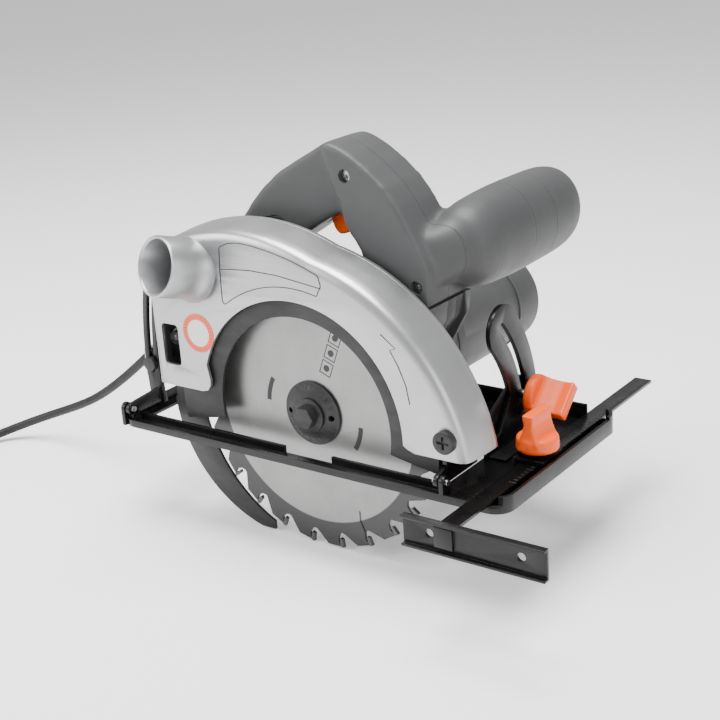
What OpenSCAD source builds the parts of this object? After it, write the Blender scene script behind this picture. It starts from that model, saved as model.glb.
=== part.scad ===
// Hand-held circular saw with a tilting, depth-adjustable base and a rip fence.
// +X is the cutting direction, +Y runs from the blade to the motor, +Z is up.
// The origin lies on the sole, under the arbor, in the middle of the narrow rail beside the blade.

/* [Blade] */
// Diameter of the saw blade over its teeth
blade_d = 185; // [180:1:187]
// Thickness of the blade's steel body
blade_t = 1.8; // [1.4:0.1:2]
// Number of teeth on the blade
blade_teeth = 24; // [18:2:40]
// Diameter of the hole in the middle of the blade
blade_bore_d = 20; // [20:1:22]

/* [Base] */
// Length of the base from back to front
base_length = 301; // [290:1:310]
// Width of the base
base_width = 145; // [140:1:150]
// Height of the arbor above the sole at full cutting depth
arbor_height = 27.5; // [27.5:0.5:30]
// Distance from the base's edge beside the blade to the blade
blade_to_edge = 25; // [24:0.5:26]

/* [Motor] */
// Outer radius of the motor barrel
motor_r = 34; // [33:0.5:35]
// How far the motor's axis lies in front of the arbor
motor_x = 16; // [14:0.5:17]
// How far the motor's axis lies above the arbor
motor_z = 21.5; // [20:0.5:23]
// Distance from the blade to the far end of the motor
motor_end = 205; // [200:1:210]

/* [Gears] */
// Teeth on the motor's pinion
pinion_teeth = 9; // [9:1:11]
// Teeth on the spindle's gear
wheel_teeth = 38; // [36:1:40]

/* [Rip fence] */
// Length of the fence's scale bar
fence_bar_length = 251; // [200:1:260]
// Length of the fence's guide plate
fence_plate_length = 91; // [80:1:100]

/* [Hidden] */
$fn = 64;

// Upper guard, measured from the blade's centre
guard_face_y = -16;
guard_back_y = 13;
plate_back_y = 16;
guard_wall = 2.2;
guard_front_arc = [-14, -30, 139.5];
guard_top_arc = [-42, -28.5, 146.7];
guard_rear_x = -121;
guard_front_z = -5;
guard_rear_z = 6;
arch_r = 77.5;

// Depth pivot, bevel axis and the slotted quadrant
depth_pivot = [108, 7.5];
bevel_axis = [-21, -16];
quadrant_x = 103;
quadrant_t = 3;
quadrant_r = 103.5;
quadrant_half_width = 16;
bolt_angle = 10;
bevel_travel = 32;
depth_arc_r = 253;
depth_arc_y = [6, 9];

// Lower guard
lower_r = 100;
lower_inner_r = 66;
nose_r = 19;

// Handle, grip and grip axis
handle_near_y = 21;
handle_far_y = 63;
handle_mid_y = 42;
grip_x = 80;
grip_z = 103;
grip_end_y = 175;
grip_seam_y = 100;

// Gear train
centre_distance = sqrt(motor_x * motor_x + motor_z * motor_z);
gear_module = 2 * centre_distance / (pinion_teeth + wheel_teeth);
gear_case_r = 26.8;

// Sole and base, measured from the blade's centre
sole_z = -arbor_height;
near_y = -blade_to_edge;
far_y = near_y + base_width;
rear_x = -base_length / 2;
front_x = base_length / 2;
sheet_t = 2;
near_rail_w = 12;
origin_y = -(near_y + near_rail_w / 2);

// Rip fence
bar_x = 135;
bar_w = 12;
bar_z = -20;
fence_y = -63;
fence_hole_pitch = 58;
fence_hole_r = 2.6;

// Cord: radius, floor level, coil and the points of its free stretch
cord_r = 3.25;
floor_z = -blade_d / 2;
coil_centre = [-385, -32];
coil_mid_r = 37;
coil_turn_r = coil_mid_r + cord_r;
CORD = [
    [-80, 42, 73.4], [-90, 42, 67.7], [-100, 42, 61.9], [-112, 42, 54.6], [-124, 42, 46.2], [-136, 42, 36.8],
    [-148, 42, 26.8], [-160, 42, 16.5], [-172, 42, 6], [-184, 42, -4.2], [-196, 42, -14], [-208, 42, -23.3],
    [-221, 42, -32.8], [-234, 42, -41.6], [-247, 42, -49.4], [-261, 42, -56.4], [-275, 41.5, -62.4],
    [-290, 40, -68.4], [-304, 37, -73.8], [-317, 32, -79], [-328, 24.5, -83.4], [-336.5, 14, -86.8],
    [-341.8, 2, -88.6], [-344.2, -10, -89.2], [-344.75, -21, -89.2], [-344.75, -32, -89.2]
];

// Puts its children where the blade's centre lies above the sole.
module at_arbor() {
    translate([0, origin_y, arbor_height]) children();
}

// Turns a shape drawn in X and Z into a plate between two values of Y.
module plate_y(y0, y1) {
    translate([0, y1, 0]) rotate([90, 0, 0]) linear_extrude(y1 - y0) children();
}

// A round bar along Y.
module rod_y(x, z, r, y0, y1) {
    translate([x, y1, z]) rotate([90, 0, 0]) cylinder(r = r, h = y1 - y0);
}

// A ring or washer along Y.
module tube_y(x, z, r_out, r_in, y0, y1) {
    difference() {
        rod_y(x, z, r_out, y0, y1);
        rod_y(x, z, r_in, y0 - 1, y1 + 1);
    }
}

// A round bar along X.
module rod_x(y, z, r, x0, x1) {
    translate([x0, y, z]) rotate([0, 90, 0]) cylinder(r = r, h = x1 - x0);
}

// A hexagonal bar along Y.
module hex_y(x, z, across_corners_r, y0, y1) {
    translate([x, y1, z]) rotate([90, 0, 0]) cylinder(r = across_corners_r, h = y1 - y0, $fn = 6);
}

// Part of a ring about the arbor, from angle a0 to a1, seen with +X to the right.
module sector_y(r_in, r_out, y0, y1, a0, a1) {
    rotate([90, 0, 0]) rotate([0, 0, a0]) rotate_extrude(angle = a1 - a0)
        translate([r_in, -y1]) square([r_out - r_in, y1 - y0]);
}

// A box between two corners.
module block(low, high) {
    translate(low) cube(high - low);
}

// ---- Upper guard and what is fixed to it ----

// The guard's side outline, pulled in by d.
module guard_outline(d) {
    intersection() {
        union() {
            translate([guard_front_arc[0], guard_front_arc[1]]) circle(r = guard_front_arc[2] - d, $fn = 96);
            translate([guard_top_arc[0], guard_top_arc[1]]) circle(r = guard_top_arc[2] - d, $fn = 96);
        }
        union() {
            translate([guard_rear_x + d, guard_rear_z - d]) square([-guard_rear_x, 200]);
            translate([0, guard_front_z - d]) square([200, 200]);
        }
    }
}

// The slanted tube that throws out the sawdust: base on the face, then its direction.
port_base = [-79, guard_face_y, 89];
port_turn = [0, 0, -13];
port_tilt = 16;
port_out_r = 19.5;
port_bore_r = 17.2;
port_len = 26;

// Puts its children on the port's axis, +Z pointing out of the mouth.
module on_port() {
    translate(port_base) rotate(port_turn) rotate([90 - port_tilt, 0, 0]) children();
}

module upper_guard() {
    color("gainsboro") at_arbor() difference() {
        plate_y(guard_face_y, guard_back_y) guard_outline(0);
        plate_y(guard_face_y + guard_wall, guard_back_y + 1) guard_outline(guard_wall);
        rod_y(0, 0, arch_r, guard_face_y - 1, guard_face_y + guard_wall + 0.1);
        block([-109, guard_face_y - 1, 22], [-95.5, guard_face_y + guard_wall + 0.1, 48]);
        rod_y(depth_pivot[0], depth_pivot[1], 4.1, guard_face_y - 1, guard_face_y + 4);
        on_port() translate([0, 0, -14]) cylinder(r = port_out_r, h = 60);
    }
}

module dust_port() {
    color("silver") at_arbor() difference() {
        on_port() translate([0, 0, -12]) cylinder(r = port_out_r, h = port_len + 12);
        on_port() translate([0, 0, -30]) cylinder(r = port_bore_r, h = port_len + 60);
        block([-120, guard_face_y + guard_wall, 50], [-40, 20, 130]);
    }
}

// Boss positions on the back plate that take the riving knife and the depth lever.
knife_clamp = [-108, 35];
lever_pin = [depth_pivot[0] - depth_arc_r, depth_pivot[1]];
lever_pin_r = 1.9;
lug_rear_end = -155;

module guard_back_plate() {
    color("darkgray") at_arbor() difference() {
        union() {
            plate_y(guard_back_y, plate_back_y) guard_outline(0);
            rod_y(0, 0, 32, guard_back_y, plate_back_y);
            rod_y(knife_clamp[0], knife_clamp[1], 7, knife_t / 2 + 0.05, guard_back_y + 1);
            plate_y(guard_back_y, plate_back_y)
                polygon([[-124, -4], [-124, 22], [-112, 30], [-102, 30], [-102, 2], [-112, -4]]);
            plate_y(depth_arc_y[1] + 0.4, plate_back_y)
                polygon([[-121.2, -4], [lug_rear_end, -4], [lug_rear_end, 16], [-121.2, 22]]);
            rod_y(depth_pivot[0], depth_pivot[1], 7.2, 6.4, guard_back_y + 1);
        }
        rod_y(0, 0, nose_r, guard_back_y - 1, plate_back_y + 1);
        rod_y(knife_clamp[0], knife_clamp[1], 2.6, 0, plate_back_y + 1);
        rod_y(lever_pin[0], lever_pin[1], lever_pin_r + 0.05, 5, plate_back_y + 1);
        rod_y(depth_pivot[0], depth_pivot[1], 4.1, 0, plate_back_y + 1);
    }
}

knife_t = 2;
knife_outer = [-29.5, -4.6, 89.8];
knife_inner_r = 94.8;
knife_low_z = -91.5;
knife_front_x = -41;
knife_rear_x = -117.5;

module riving_knife() {
    color("dimgray") at_arbor() difference() {
        plate_y(-knife_t / 2, knife_t / 2) union() {
            difference() {
                intersection() {
                    translate([knife_outer[0], knife_outer[1]]) circle(r = knife_outer[2], $fn = 96);
                    translate([-130, knife_low_z]) square([130 + knife_front_x, -knife_low_z - 10]);
                }
                circle(r = knife_inner_r, $fn = 96);
            }
            translate([knife_rear_x, -12]) square([-97.2 - knife_rear_x, 60]);
            translate([knife_rear_x, 47.9]) square([16, 6]);
        }
        rod_y(knife_clamp[0], knife_clamp[1], 2.7, -5, 5);
    }
}

module riving_knife_screw() {
    color("silver") at_arbor() difference() {
        union() {
            rod_y(knife_clamp[0], knife_clamp[1], 2.55, -3, 15);
            rod_y(knife_clamp[0], knife_clamp[1], 6, -2.4, -knife_t / 2);
            rod_y(knife_clamp[0], knife_clamp[1], 4.6, -6.2, -2.4);
        }
        hex_y(knife_clamp[0], knife_clamp[1], 2.4, -7, -4);
    }
}

// ---- Gear case, motor case and handle ----

block_top_z = 71;
CASE_SCREWS = [[-10, 64], [68, 64]];
// Side outline of the gear case, pulled in by d.
module gear_outline(d) {
    circle(r = gear_case_r - d);
    translate([motor_x, motor_z]) circle(r = motor_r - d);
    translate([-17 + d, 22]) square([59 - 2 * d, block_top_z - 22 - d]);
    polygon([
        [40, 20], [49 - d, 24], [63 - d, 44], [74 - d, 58], [76 - d, block_top_z - d],
        [40, block_top_z - d]
    ]);
}

gear_case_back_y = 42;
lock_pin_y = 35;

module gear_housing() {
    color("dimgray") at_arbor() difference() {
        union() {
            plate_y(plate_back_y, gear_case_back_y) gear_outline(0);
            tube_y(0, 0, nose_r, 10.5, 7, plate_back_y + 1);
        }
        plate_y(plate_back_y + 9.5, gear_case_back_y + 1) gear_outline(2.8);
        rod_y(0, 0, 14, plate_back_y + 1, plate_back_y + 10);
        rod_y(0, 0, 10.5, 6, plate_back_y + 10);
        rod_x(lock_pin_y, 0, 4.2, -40, -15);
    }
}

module gear_case_cover() {
    color("slategray") at_arbor() difference() {
        plate_y(gear_case_back_y, 52) gear_outline(0);
        rod_y(0, 0, 10, gear_case_back_y - 1, 50);
        rod_y(motor_x, motor_z, 11, gear_case_back_y - 1, 50);
        rod_y(motor_x, motor_z, 6, 49, 53);
        for (spot = CASE_SCREWS) rod_y(spot[0], spot[1], 2, gear_case_back_y - 1, 53);
    }
}

motor_case_start_y = 52;
motor_seam_y = 174;
motor_wall = 2.6;

module motor_housing() {
    color("gray") at_arbor() difference() {
        union() {
            rod_y(motor_x, motor_z, motor_r, motor_case_start_y, motor_seam_y);
            plate_y(motor_case_start_y, 68) gear_outline(0);
        }
        rod_y(motor_x, motor_z, motor_r - motor_wall, motor_case_start_y - 1, motor_seam_y + 1);
        plate_y(motor_case_start_y - 1, 65.5) intersection() {
            gear_outline(2.8);
            translate([-50, 20]) square([200, 100]);
        }
        for (spot = CASE_SCREWS) rod_y(spot[0], spot[1], 2.05, 65, 69);
        for (row = [0:3])
            translate([motor_x, 130 + 9 * row, motor_z]) for (side = [150, 180, 210])
                rotate([0, -side, 0]) translate([motor_r - 6, -2, -7]) cube([12, 4, 14]);
    }
}

module motor_end_cap() {
    color("dimgray") at_arbor() difference() {
        union() {
            rod_y(motor_x, motor_z, motor_r, motor_seam_y, motor_end - 7);
            translate([motor_x, motor_end - 7, motor_z]) rotate([-90, 0, 0])
                cylinder(r1 = motor_r, r2 = motor_r - 6, h = 7);
        }
        rod_y(motor_x, motor_z, motor_r - motor_wall, motor_seam_y - 1, motor_end - 12);
        rod_y(motor_x, motor_z, 9.6, motor_end - 14, motor_end - 4);
        for (spoke = [0:30:330])
            translate([motor_x, 0, motor_z]) rotate([0, spoke, 0])
                translate([14, motor_end - 20, -1.6]) cube([11, 30, 3.2]);
    }
}

// Screws that hold the motor case to the gear case.
module housing_screws() {
    color("silver") at_arbor() for (spot = CASE_SCREWS)
        difference() {
            union() {
                rod_y(spot[0], spot[1], 2, 44, 69);
                rod_y(spot[0], spot[1], 3.8, 68, 70.5);
            }
            hex_y(spot[0], spot[1], 1.8, 69, 72);
        }
}

HANDLE_OUTLINE = [
    [-86, 62], [-86, 84], [-80, 97], [-71, 111], [-62, 122], [-52, 132.5], [-38, 144], [-22, 153],
    [-8, 160.5], [0, 165], [6, 166.8], [13, 165.6], [24, 160.5], [36, 152.5], [48, 142.5], [59, 132],
    [67, 127], [78, 125.5], [85, 121], [87, 112], [84, 98], [80, 84], [76, block_top_z],
    [-18, block_top_z], [-24, 62]
];
HANDLE_LOOP = [
    [-52, 88], [-44, 96], [-33, 97], [-20, 105], [-11, 111], [0, 117.5], [10, 122.5], [14.5, 119.5],
    [16, 115.2], [21, 109.5], [26.5, 103.3], [29, 95], [29.5, 87], [26, 80], [18, 77], [-36, 77], [-47, 80]
];
HANDLE_ROOM = [
    [-74, 80], [-66, 96], [-54, 113], [-40, 132], [-20, 145], [2, 155], [16, 152], [34, 138], [50, 123],
    [44, 112], [30, 112], [20, 126], [8, 128], [-12, 117], [-36, 103], [-52, 97], [-60, 84], [-62, 74],
    [-74, 72]
];
SCREW_SPOTS = [[20, 147], [68, 84], [-66, 73]];

// One half of the D-shaped handle between two values of Y, hollow between inner_y0 and inner_y1.
module handle_half(y0, y1, inner_y0, inner_y1) {
    difference() {
        plate_y(y0, y1) polygon(HANDLE_OUTLINE);
        plate_y(y0 - 1, y1 + 1) polygon(HANDLE_LOOP);
        plate_y(inner_y0, inner_y1) polygon(HANDLE_ROOM);
        block([-8.5, trigger_y[0] - 0.4, 100], [13.6, trigger_y[1] + 0.4, 133]);
        rod_along_cord_exit(5.2);
        for (spot = SCREW_SPOTS) rod_y(spot[0], spot[1], 2.1, y0 - 1, y1 + 1);
    }
}

trigger_y = [36, 48];
grip_plug = [73, 103];
lock_off_spot = [-8, 141];
lock_off_r = 6;

// The hole in the handle's heel that the cord leaves by.
cord_exit = [-82, handle_mid_y, 72.25];
module on_cord_exit() {
    translate(cord_exit) rotate([0, -120, 0]) children();
}
module rod_along_cord_exit(r) {
    on_cord_exit() translate([0, 0, -12]) cylinder(r = r, h = 40);
}

module handle_near_shell() {
    color("dimgray") at_arbor() difference() {
        handle_half(handle_near_y, handle_mid_y, handle_near_y + 3, handle_mid_y + 1);
        plate_y(handle_near_y - 1, handle_near_y + 7) polygon(INSERT_OUTLINE);
        for (spot = SCREW_SPOTS) rod_y(spot[0], spot[1], 4, handle_near_y - 1, handle_near_y + 6);
    }
}

module handle_far_shell() {
    color("gray") at_arbor() difference() {
        handle_half(handle_mid_y, handle_far_y, handle_mid_y - 1, handle_far_y - 3);
        rod_y(lock_off_spot[0], lock_off_spot[1], lock_off_r + 0.1, handle_far_y - 4, handle_far_y + 1);
        rod_y(grip_plug[0], grip_plug[1], 8, handle_far_y - 8, handle_far_y + 1);
    }
}

INSERT_OUTLINE = [
    [-76, 86], [-60, 112], [-40, 117], [-30, 112], [-27, 103.5], [-38, 99], [-52, 95], [-60, 84], [-66, 81]
];

module handle_insert() {
    color("#202020") at_arbor() difference() {
        union() {
            plate_y(handle_near_y + 3, handle_near_y + 7) polygon(INSERT_OUTLINE);
            plate_y(handle_near_y + 0.5, handle_near_y + 3)
                polygon([[-66, 84], [-47, 110], [-43, 108], [-61, 83]]);
        }
        plate_y(handle_near_y, handle_near_y + 8) polygon(HANDLE_LOOP);
    }
}

module handle_screws() {
    color("black") at_arbor() for (spot = SCREW_SPOTS)
        difference() {
            union() {
                rod_y(spot[0], spot[1], 2.05, handle_near_y + 5, handle_far_y - 4);
                rod_y(spot[0], spot[1], 3.9, handle_near_y + 3, handle_near_y + 6);
            }
            rod_y(spot[0], spot[1], 1.5, handle_near_y + 2, handle_near_y + 4.2);
        }
}

// The front grip is a barrel about an axis along Y, fuller in the middle.
GRIP_PROFILE = [
    [0, 55], [12, 55.2], [19, 58], [23, 64], [25, 73], [25.6, 86], [25.4, 100], [25, 112], [24.2, 127],
    [23.4, 140], [22, 154], [19.5, 165], [14, 172.5], [6, 175], [0, 175]
];

module grip_solid() {
    translate([grip_x, 0, grip_z]) rotate([-90, 0, 0]) rotate_extrude() polygon(GRIP_PROFILE);
}

module front_grip_base() {
    color("dimgray") at_arbor() difference() {
        union() {
            intersection() {
                grip_solid();
                block([0, handle_far_y, 0], [200, grip_seam_y, 200]);
            }
            rod_y(grip_plug[0], grip_plug[1], 7.9, handle_far_y - 7.8, handle_far_y + 1);
        }
        rod_y(grip_x, grip_z, 16, handle_far_y + 5, grip_seam_y + 1);
        rod_y(grip_plug[0], grip_plug[1], 2.6, handle_far_y - 9, handle_far_y + 10);
    }
}

module front_grip_cap() {
    color("gray") at_arbor() difference() {
        intersection() {
            grip_solid();
            block([0, grip_seam_y, 0], [200, grip_end_y + 1, 200]);
        }
        rod_y(grip_x, grip_z, 16, grip_seam_y - 1, 150);
    }
}

module switch_body() {
    color("#303030") at_arbor() block([-12, 29, 134], [14, 52, 146]);
}

// Rubber sleeve that guards the cord where it leaves the handle.
module strain_relief() {
    color("#181818") at_arbor() difference() {
        on_cord_exit() union() {
            cylinder(r = 5.1, h = 10);
            translate([0, 0, 10]) cylinder(r1 = 5.1, r2 = 4.1, h = 16);
        }
        on_cord_exit() translate([0, 0, -1]) cylinder(r = cord_r + 0.1, h = 40);
    }
}

// A round tube swept along a list of points.
function unit(v) = v / norm(v);
function tangent(p, i) = unit(p[min(i + 1, len(p) - 1)] - p[max(i - 1, 0)]);
function side_of(t) = unit(cross(t, [0, 0, 1]));
module sweep(points, r, sides) {
    rings = [for (i = [0:len(points) - 1]) let (t = tangent(points, i), s = side_of(t), u = cross(s, t))
        for (k = [0:sides - 1]) let (a = 360 * k / sides)
            points[i] + r * (cos(a) * s + sin(a) * u)];
    last = len(points) - 1;
    skin = [for (i = [0:last - 1]) for (k = [0:sides - 1]) let (n = (k + 1) % sides)
        [i * sides + k, i * sides + n, (i + 1) * sides + n, (i + 1) * sides + k]];
    ends = [[for (k = [sides - 1:-1:0]) k], [for (k = [0:sides - 1]) last * sides + k]];
    polyhedron(points = rings, faces = concat(skin, ends));
}

// The coil is two turns wide and three turns high.
coil_height = 6 * cord_r;
coil_out_r = coil_mid_r + 2 * cord_r;
coil_in_r = coil_mid_r - 2 * cord_r;
tail_x = coil_centre[0] - coil_turn_r;
plug_y = 2;

module cord() {
    color("#101010") at_arbor() {
        sweep(CORD, cord_r, 10);
        rod_y(tail_x, floor_z + cord_r, cord_r, coil_centre[1], plug_y);
    }
}

module cord_coil() {
    color("#101010") at_arbor() translate([coil_centre[0], coil_centre[1], floor_z])
        rotate_extrude() translate([coil_in_r, 0]) square([coil_out_r - coil_in_r, coil_height]);
}

module cord_tie() {
    color("#404040") at_arbor() difference() {
        block([coil_centre[0] - 4, coil_centre[1] + coil_in_r - 1.8, floor_z],
              [coil_centre[0] + 4, coil_centre[1] + coil_out_r + 1.6, floor_z + coil_height + 1.2]);
        block([coil_centre[0] - 5, coil_centre[1] + coil_in_r - 0.4, floor_z - 1],
              [coil_centre[0] + 5, coil_centre[1] + coil_out_r + 0.2, floor_z + coil_height]);
    }
}

module plug() {
    color("#181818") at_arbor() union() {
        rod_y(tail_x, floor_z + 10, 8, plug_y, plug_y + 16);
        block([tail_x - 17, plug_y + 14, floor_z], [tail_x + 17, plug_y + 36, floor_z + 20]);
        for (side = [-9.5, 9.5])
            rod_y(tail_x + side, floor_z + 10, 2.4, plug_y + 35, plug_y + 55);
    }
}

// ---- Motor inside the case ----

stator_y = [76, 122];
module stator() {
    color("silver") at_arbor() difference() {
        rod_y(motor_x, motor_z, motor_r - motor_wall - 0.1, stator_y[0], stator_y[1]);
        rod_y(motor_x, motor_z, 19.6, stator_y[0] - 1, stator_y[1] + 1);
        for (side = [0, 180])
            translate([motor_x, 0, motor_z]) rotate([0, side, 0])
                translate([-9, stator_y[0] - 1, 22]) cube([18, 60, 5]);
    }
}

brush_y = [139, 147];
module brush_holders() {
    color("#403020") at_arbor() for (side = [0, 180])
        translate([motor_x, 0, motor_z]) rotate([0, side, 0]) difference() {
            translate([-5.5, brush_y[0] - 1.5, 14.6]) cube([11, brush_y[1] - brush_y[0] + 3, 16]);
            translate([-3.1, brush_y[0] - 0.1, 14]) cube([6.2, brush_y[1] - brush_y[0] + 0.2, 15]);
        }
}

module carbon_brushes() {
    color("#202020") at_arbor() for (side = [0, 180])
        translate([motor_x, 0, motor_z]) rotate([0, side, 0])
            translate([-3, brush_y[0], 13.1]) cube([6, brush_y[1] - brush_y[0], 12]);
}

module bearing(x, z, r_out, r_in, y0, y1) {
    tube_y(x, z, r_out, r_in, y0, y1);
}

module front_motor_bearing() {
    color("silver") at_arbor() bearing(motor_x, motor_z, 11, 4.05, 43, 50);
}

module rear_motor_bearing() {
    color("silver") at_arbor() bearing(motor_x, motor_z, 9.6, 3.55, motor_end - 11, motor_end - 4);
}

module spindle_bearing() {
    color("silver") at_arbor() bearing(0, 0, 14, 7.55, 17, 25.5);
}

module spindle_bush() {
    color("#b5853b") at_arbor() bearing(0, 0, 10, 6.05, 43, 50);
}

// ---- Armature ----

module armature() {
    color("silver") at_arbor() difference() {
        rod_y(motor_x, motor_z, 19, 78, 120);
        for (slot = [0:30:330])
            translate([motor_x, 0, motor_z]) rotate([0, slot, 0])
                translate([14, 77, -1]) cube([6, 44, 2]);
        rod_y(motor_x, motor_z, 4, 70, 130);
    }
}

module commutator() {
    color("#c27a3f") at_arbor() tube_y(motor_x, motor_z, 13, 4, 134, 151);
}

module fan() {
    color("#202020") at_arbor() difference() {
        union() {
            rod_y(motor_x, motor_z, 29, 56, 58);
            rod_y(motor_x, motor_z, 8, 56, 66);
            for (blade_turn = [0:36:324])
                translate([motor_x, 0, motor_z]) rotate([0, blade_turn, 0])
                    translate([7, 57, -0.8]) cube([21, 9, 1.6]);
        }
        rod_y(motor_x, motor_z, 4, 50, 70);
    }
}

module motor_shaft() {
    color("silver") at_arbor() union() {
        rod_y(motor_x, motor_z, 3.5, motor_end - 12, motor_end - 4.5);
        rod_y(motor_x, motor_z, 3, 26, 41);
        rod_y(motor_x, motor_z, 4, 41, motor_end - 12);
    }
}

// Points of one flank of an involute tooth, from its base circle out to r_tip.
function flank(base_r, r_low, r_high, steps) = [for (i = [0:steps])
    let (r = r_low + (r_high - r_low) * i / steps, t = sqrt(max(0, r * r / (base_r * base_r) - 1)))
    [r, t * 180 / PI - atan(t)]];
pressure_angle = 24;
involute = tan(pressure_angle) * 180 / PI - pressure_angle;
function gear_points(teeth, addendum, dedendum, play) =
    let (pitch_r = gear_module * teeth / 2, base_r = pitch_r * cos(pressure_angle),
         tip_r = pitch_r + addendum, root_r = pitch_r - dedendum,
         half = 90 / teeth - play / pitch_r * 180 / PI + involute,
         side = flank(base_r, max(base_r, root_r + 0.01), tip_r, 5))
    [for (n = [0:teeth - 1]) let (mid = 360 * n / teeth)
        each concat(
            [root_r * [cos(mid - half), sin(mid - half)]],
            [for (p = side) p[0] * [cos(mid - half + p[1]), sin(mid - half + p[1])]],
            [for (i = [len(side) - 1:-1:0]) let (p = side[i])
                p[0] * [cos(mid + half - p[1]), sin(mid + half - p[1])]],
            [root_r * [cos(mid + half), sin(mid + half)]]
        )];

gear_line = atan2(motor_z, motor_x);
module pinion() {
    color("silver") at_arbor() difference() {
        translate([motor_x, 0, motor_z]) plate_y(30, 40)
            rotate(gear_line + 180 + 180 / pinion_teeth)
                polygon(gear_points(pinion_teeth, 0.85 * gear_module, 1.15 * gear_module, 0.09));
        rod_y(motor_x, motor_z, 3, 20, 50);
    }
}

module spindle_gear() {
    color("#8a8a80") at_arbor() difference() {
        plate_y(31, 39) rotate(gear_line)
            polygon(gear_points(wheel_teeth, 0.85 * gear_module, 1.15 * gear_module, 0.09));
        rod_y(0, 0, 8, 20, 50);
        for (hole = [45:90:315]) rotate([0, hole, 0]) rod_y(14, 0, 3, 20, 50);
    }
}

// ---- Spindle and blade ----

module spindle() {
    color("silver") at_arbor() difference() {
        union() {
            rod_y(0, 0, 8, 7.6, 16.9);
            rod_y(0, 0, 7.5, 16.9, 26);
            rod_y(0, 0, 8, 26, 42.9);
            rod_y(0, 0, 6, 42.9, 49.5);
        }
        rod_y(0, 0, 4, 7, 24);
    }
}

flange_r = 21;
module inner_flange() {
    color("#404040") at_arbor() difference() {
        union() {
            rod_y(0, 0, flange_r - 1.5, blade_t / 2, 5.5);
            rod_y(0, 0, blade_bore_d / 2 - 0.05, -blade_t / 2 + 0.2, blade_t / 2);
            rod_y(0, 0, 9.6, 5.5, 7.6);
        }
        rod_y(0, 0, 4.1, -4, 9);
    }
}

tip_r = blade_d / 2;
gullet_r = tip_r - 10.3;
tooth_pitch = 360 / blade_teeth;
tip_phase = -141;
function at(r, a) = r * [cos(a), sin(a)];
// Outline of the blade: tip, heel, sloping back and rounded gullet of each tooth.
BLADE_OUTLINE = [for (n = [0:blade_teeth - 1]) let (a = tip_phase - n * tooth_pitch)
    each [
        at(gullet_r + 1.4, a - 0.6), at(gullet_r + 5, a - 1.6), at(tip_r - 1, a - 0.8),
        at(tip_r - 0.8, a - 1.4), at(tip_r - 1.3, a - 7), at(gullet_r + 2.4, a - 11.2),
        at(gullet_r + 0.3, a - 12.8), at(gullet_r, a - 13.9)
    ]];
SLOT_PLAN = [[-1, -0.6], [9, -0.6], [15, -3.2], [16, -2], [9.6, 0.6], [-1, 0.6]];

module blade() {
    color("silver") at_arbor() difference() {
        plate_y(-blade_t / 2, blade_t / 2) difference() {
            polygon(BLADE_OUTLINE);
            for (n = [0:3]) rotate(-66 + 90 * n)
                translate([gullet_r, 0]) rotate(180) translate([-2, 0]) polygon(SLOT_PLAN);
        }
        rod_y(0, 0, blade_bore_d / 2, -3, 3);
        for (side = [-15, 15]) rod_y(side, 0, 2, -3, 3);
    }
}

module carbide_tips() {
    color("#8c8c8c") at_arbor() plate_y(-1.3, 1.3) for (n = [0:blade_teeth - 1])
        rotate(tip_phase + n * tooth_pitch)
            polygon([
                [tip_r - 6.5, -0.6], [tip_r - 5.6, 1.3], [tip_r, 1.2], [tip_r - 0.5, -1.25], [tip_r - 1, -1.3]
            ]);
}

module outer_flange() {
    color("#383838") at_arbor() difference() {
        union() {
            rod_y(0, 0, flange_r, -2.6, -blade_t / 2);
            translate([0, -2.6, 0]) rotate([90, 0, 0]) cylinder(r1 = flange_r - 1, r2 = 15, h = 2.4);
        }
        rod_y(0, 0, 4.1, -8, 0);
        for (side = [-16, 16]) rod_y(side, 0, 1.9, -8, 0);
    }
}

module blade_bolt() {
    color("#303030") at_arbor() union() {
        rod_y(0, 0, 3.95, -5, 22);
        rod_y(0, 0, 11, -6.8, -5);
        hex_y(0, 0, 7.5, -13, -6.8);
    }
}

// ---- Controls ----

module trigger() {
    color("orangered") at_arbor() plate_y(trigger_y[0], trigger_y[1]) polygon([
        [-3.5, 113.5], [-1.5, 108.5], [2, 105.8], [8.5, 107.5], [12.2, 112], [13.2, 118], [12, 126],
        [-1, 126], [-3.6, 118]
    ]);
}

module lock_off_button() {
    color("#202020") at_arbor() union() {
        rod_y(lock_off_spot[0], lock_off_spot[1], lock_off_r, 57, handle_far_y + 3.5);
        rod_y(lock_off_spot[0], lock_off_spot[1], 7.4, 56.5, 59.6);
    }
}

module spindle_lock() {
    color("#202020") at_arbor() union() {
        rod_x(lock_pin_y, 0, 4, -34, -26.4);
        rod_x(lock_pin_y, 0, 6, -37, -31);
    }
}

// Flat lever that clamps the depth arc, with its pin through the arc's slot.
module depth_lever() {
    color("#202020") at_arbor() union() {
        rod_y(lever_pin[0], lever_pin[1], lever_pin_r, 3, 24);
        rod_y(lever_pin[0], lever_pin[1], 5, 2.6, 5.6);
        rod_y(lever_pin[0], lever_pin[1], 7, plate_back_y + 0.3, 22);
        plate_y(plate_back_y + 1.5, 21) polygon([
            [-151.5, 8], [-148, 34], [-145, 46], [-138, 48], [-135, 42], [-138, 6]
        ]);
    }
}

// ---- Lower guard ----

guard_start = -10;
guard_end = 190;
module lower_guard() {
    color("#303030") at_arbor() difference() {
        union() {
            sector_y(lower_inner_r, lower_r, -12, -10.5, guard_start, guard_end);
            sector_y(21, lower_r, 10.5, 12, guard_start, guard_end);
            sector_y(lower_r - 1.5, lower_r, -12, -3.5, guard_start, guard_end);
            sector_y(lower_r - 1.5, lower_r, 3.5, 12, guard_start, guard_end);
            sector_y(94.2, 96.6, -12, 12, guard_start, 16);
            rod_y(0, 0, 24, 8.5, 12.8);
        }
        rod_y(0, 0, nose_r + 0.05, 8, 14);
    }
}

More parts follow.
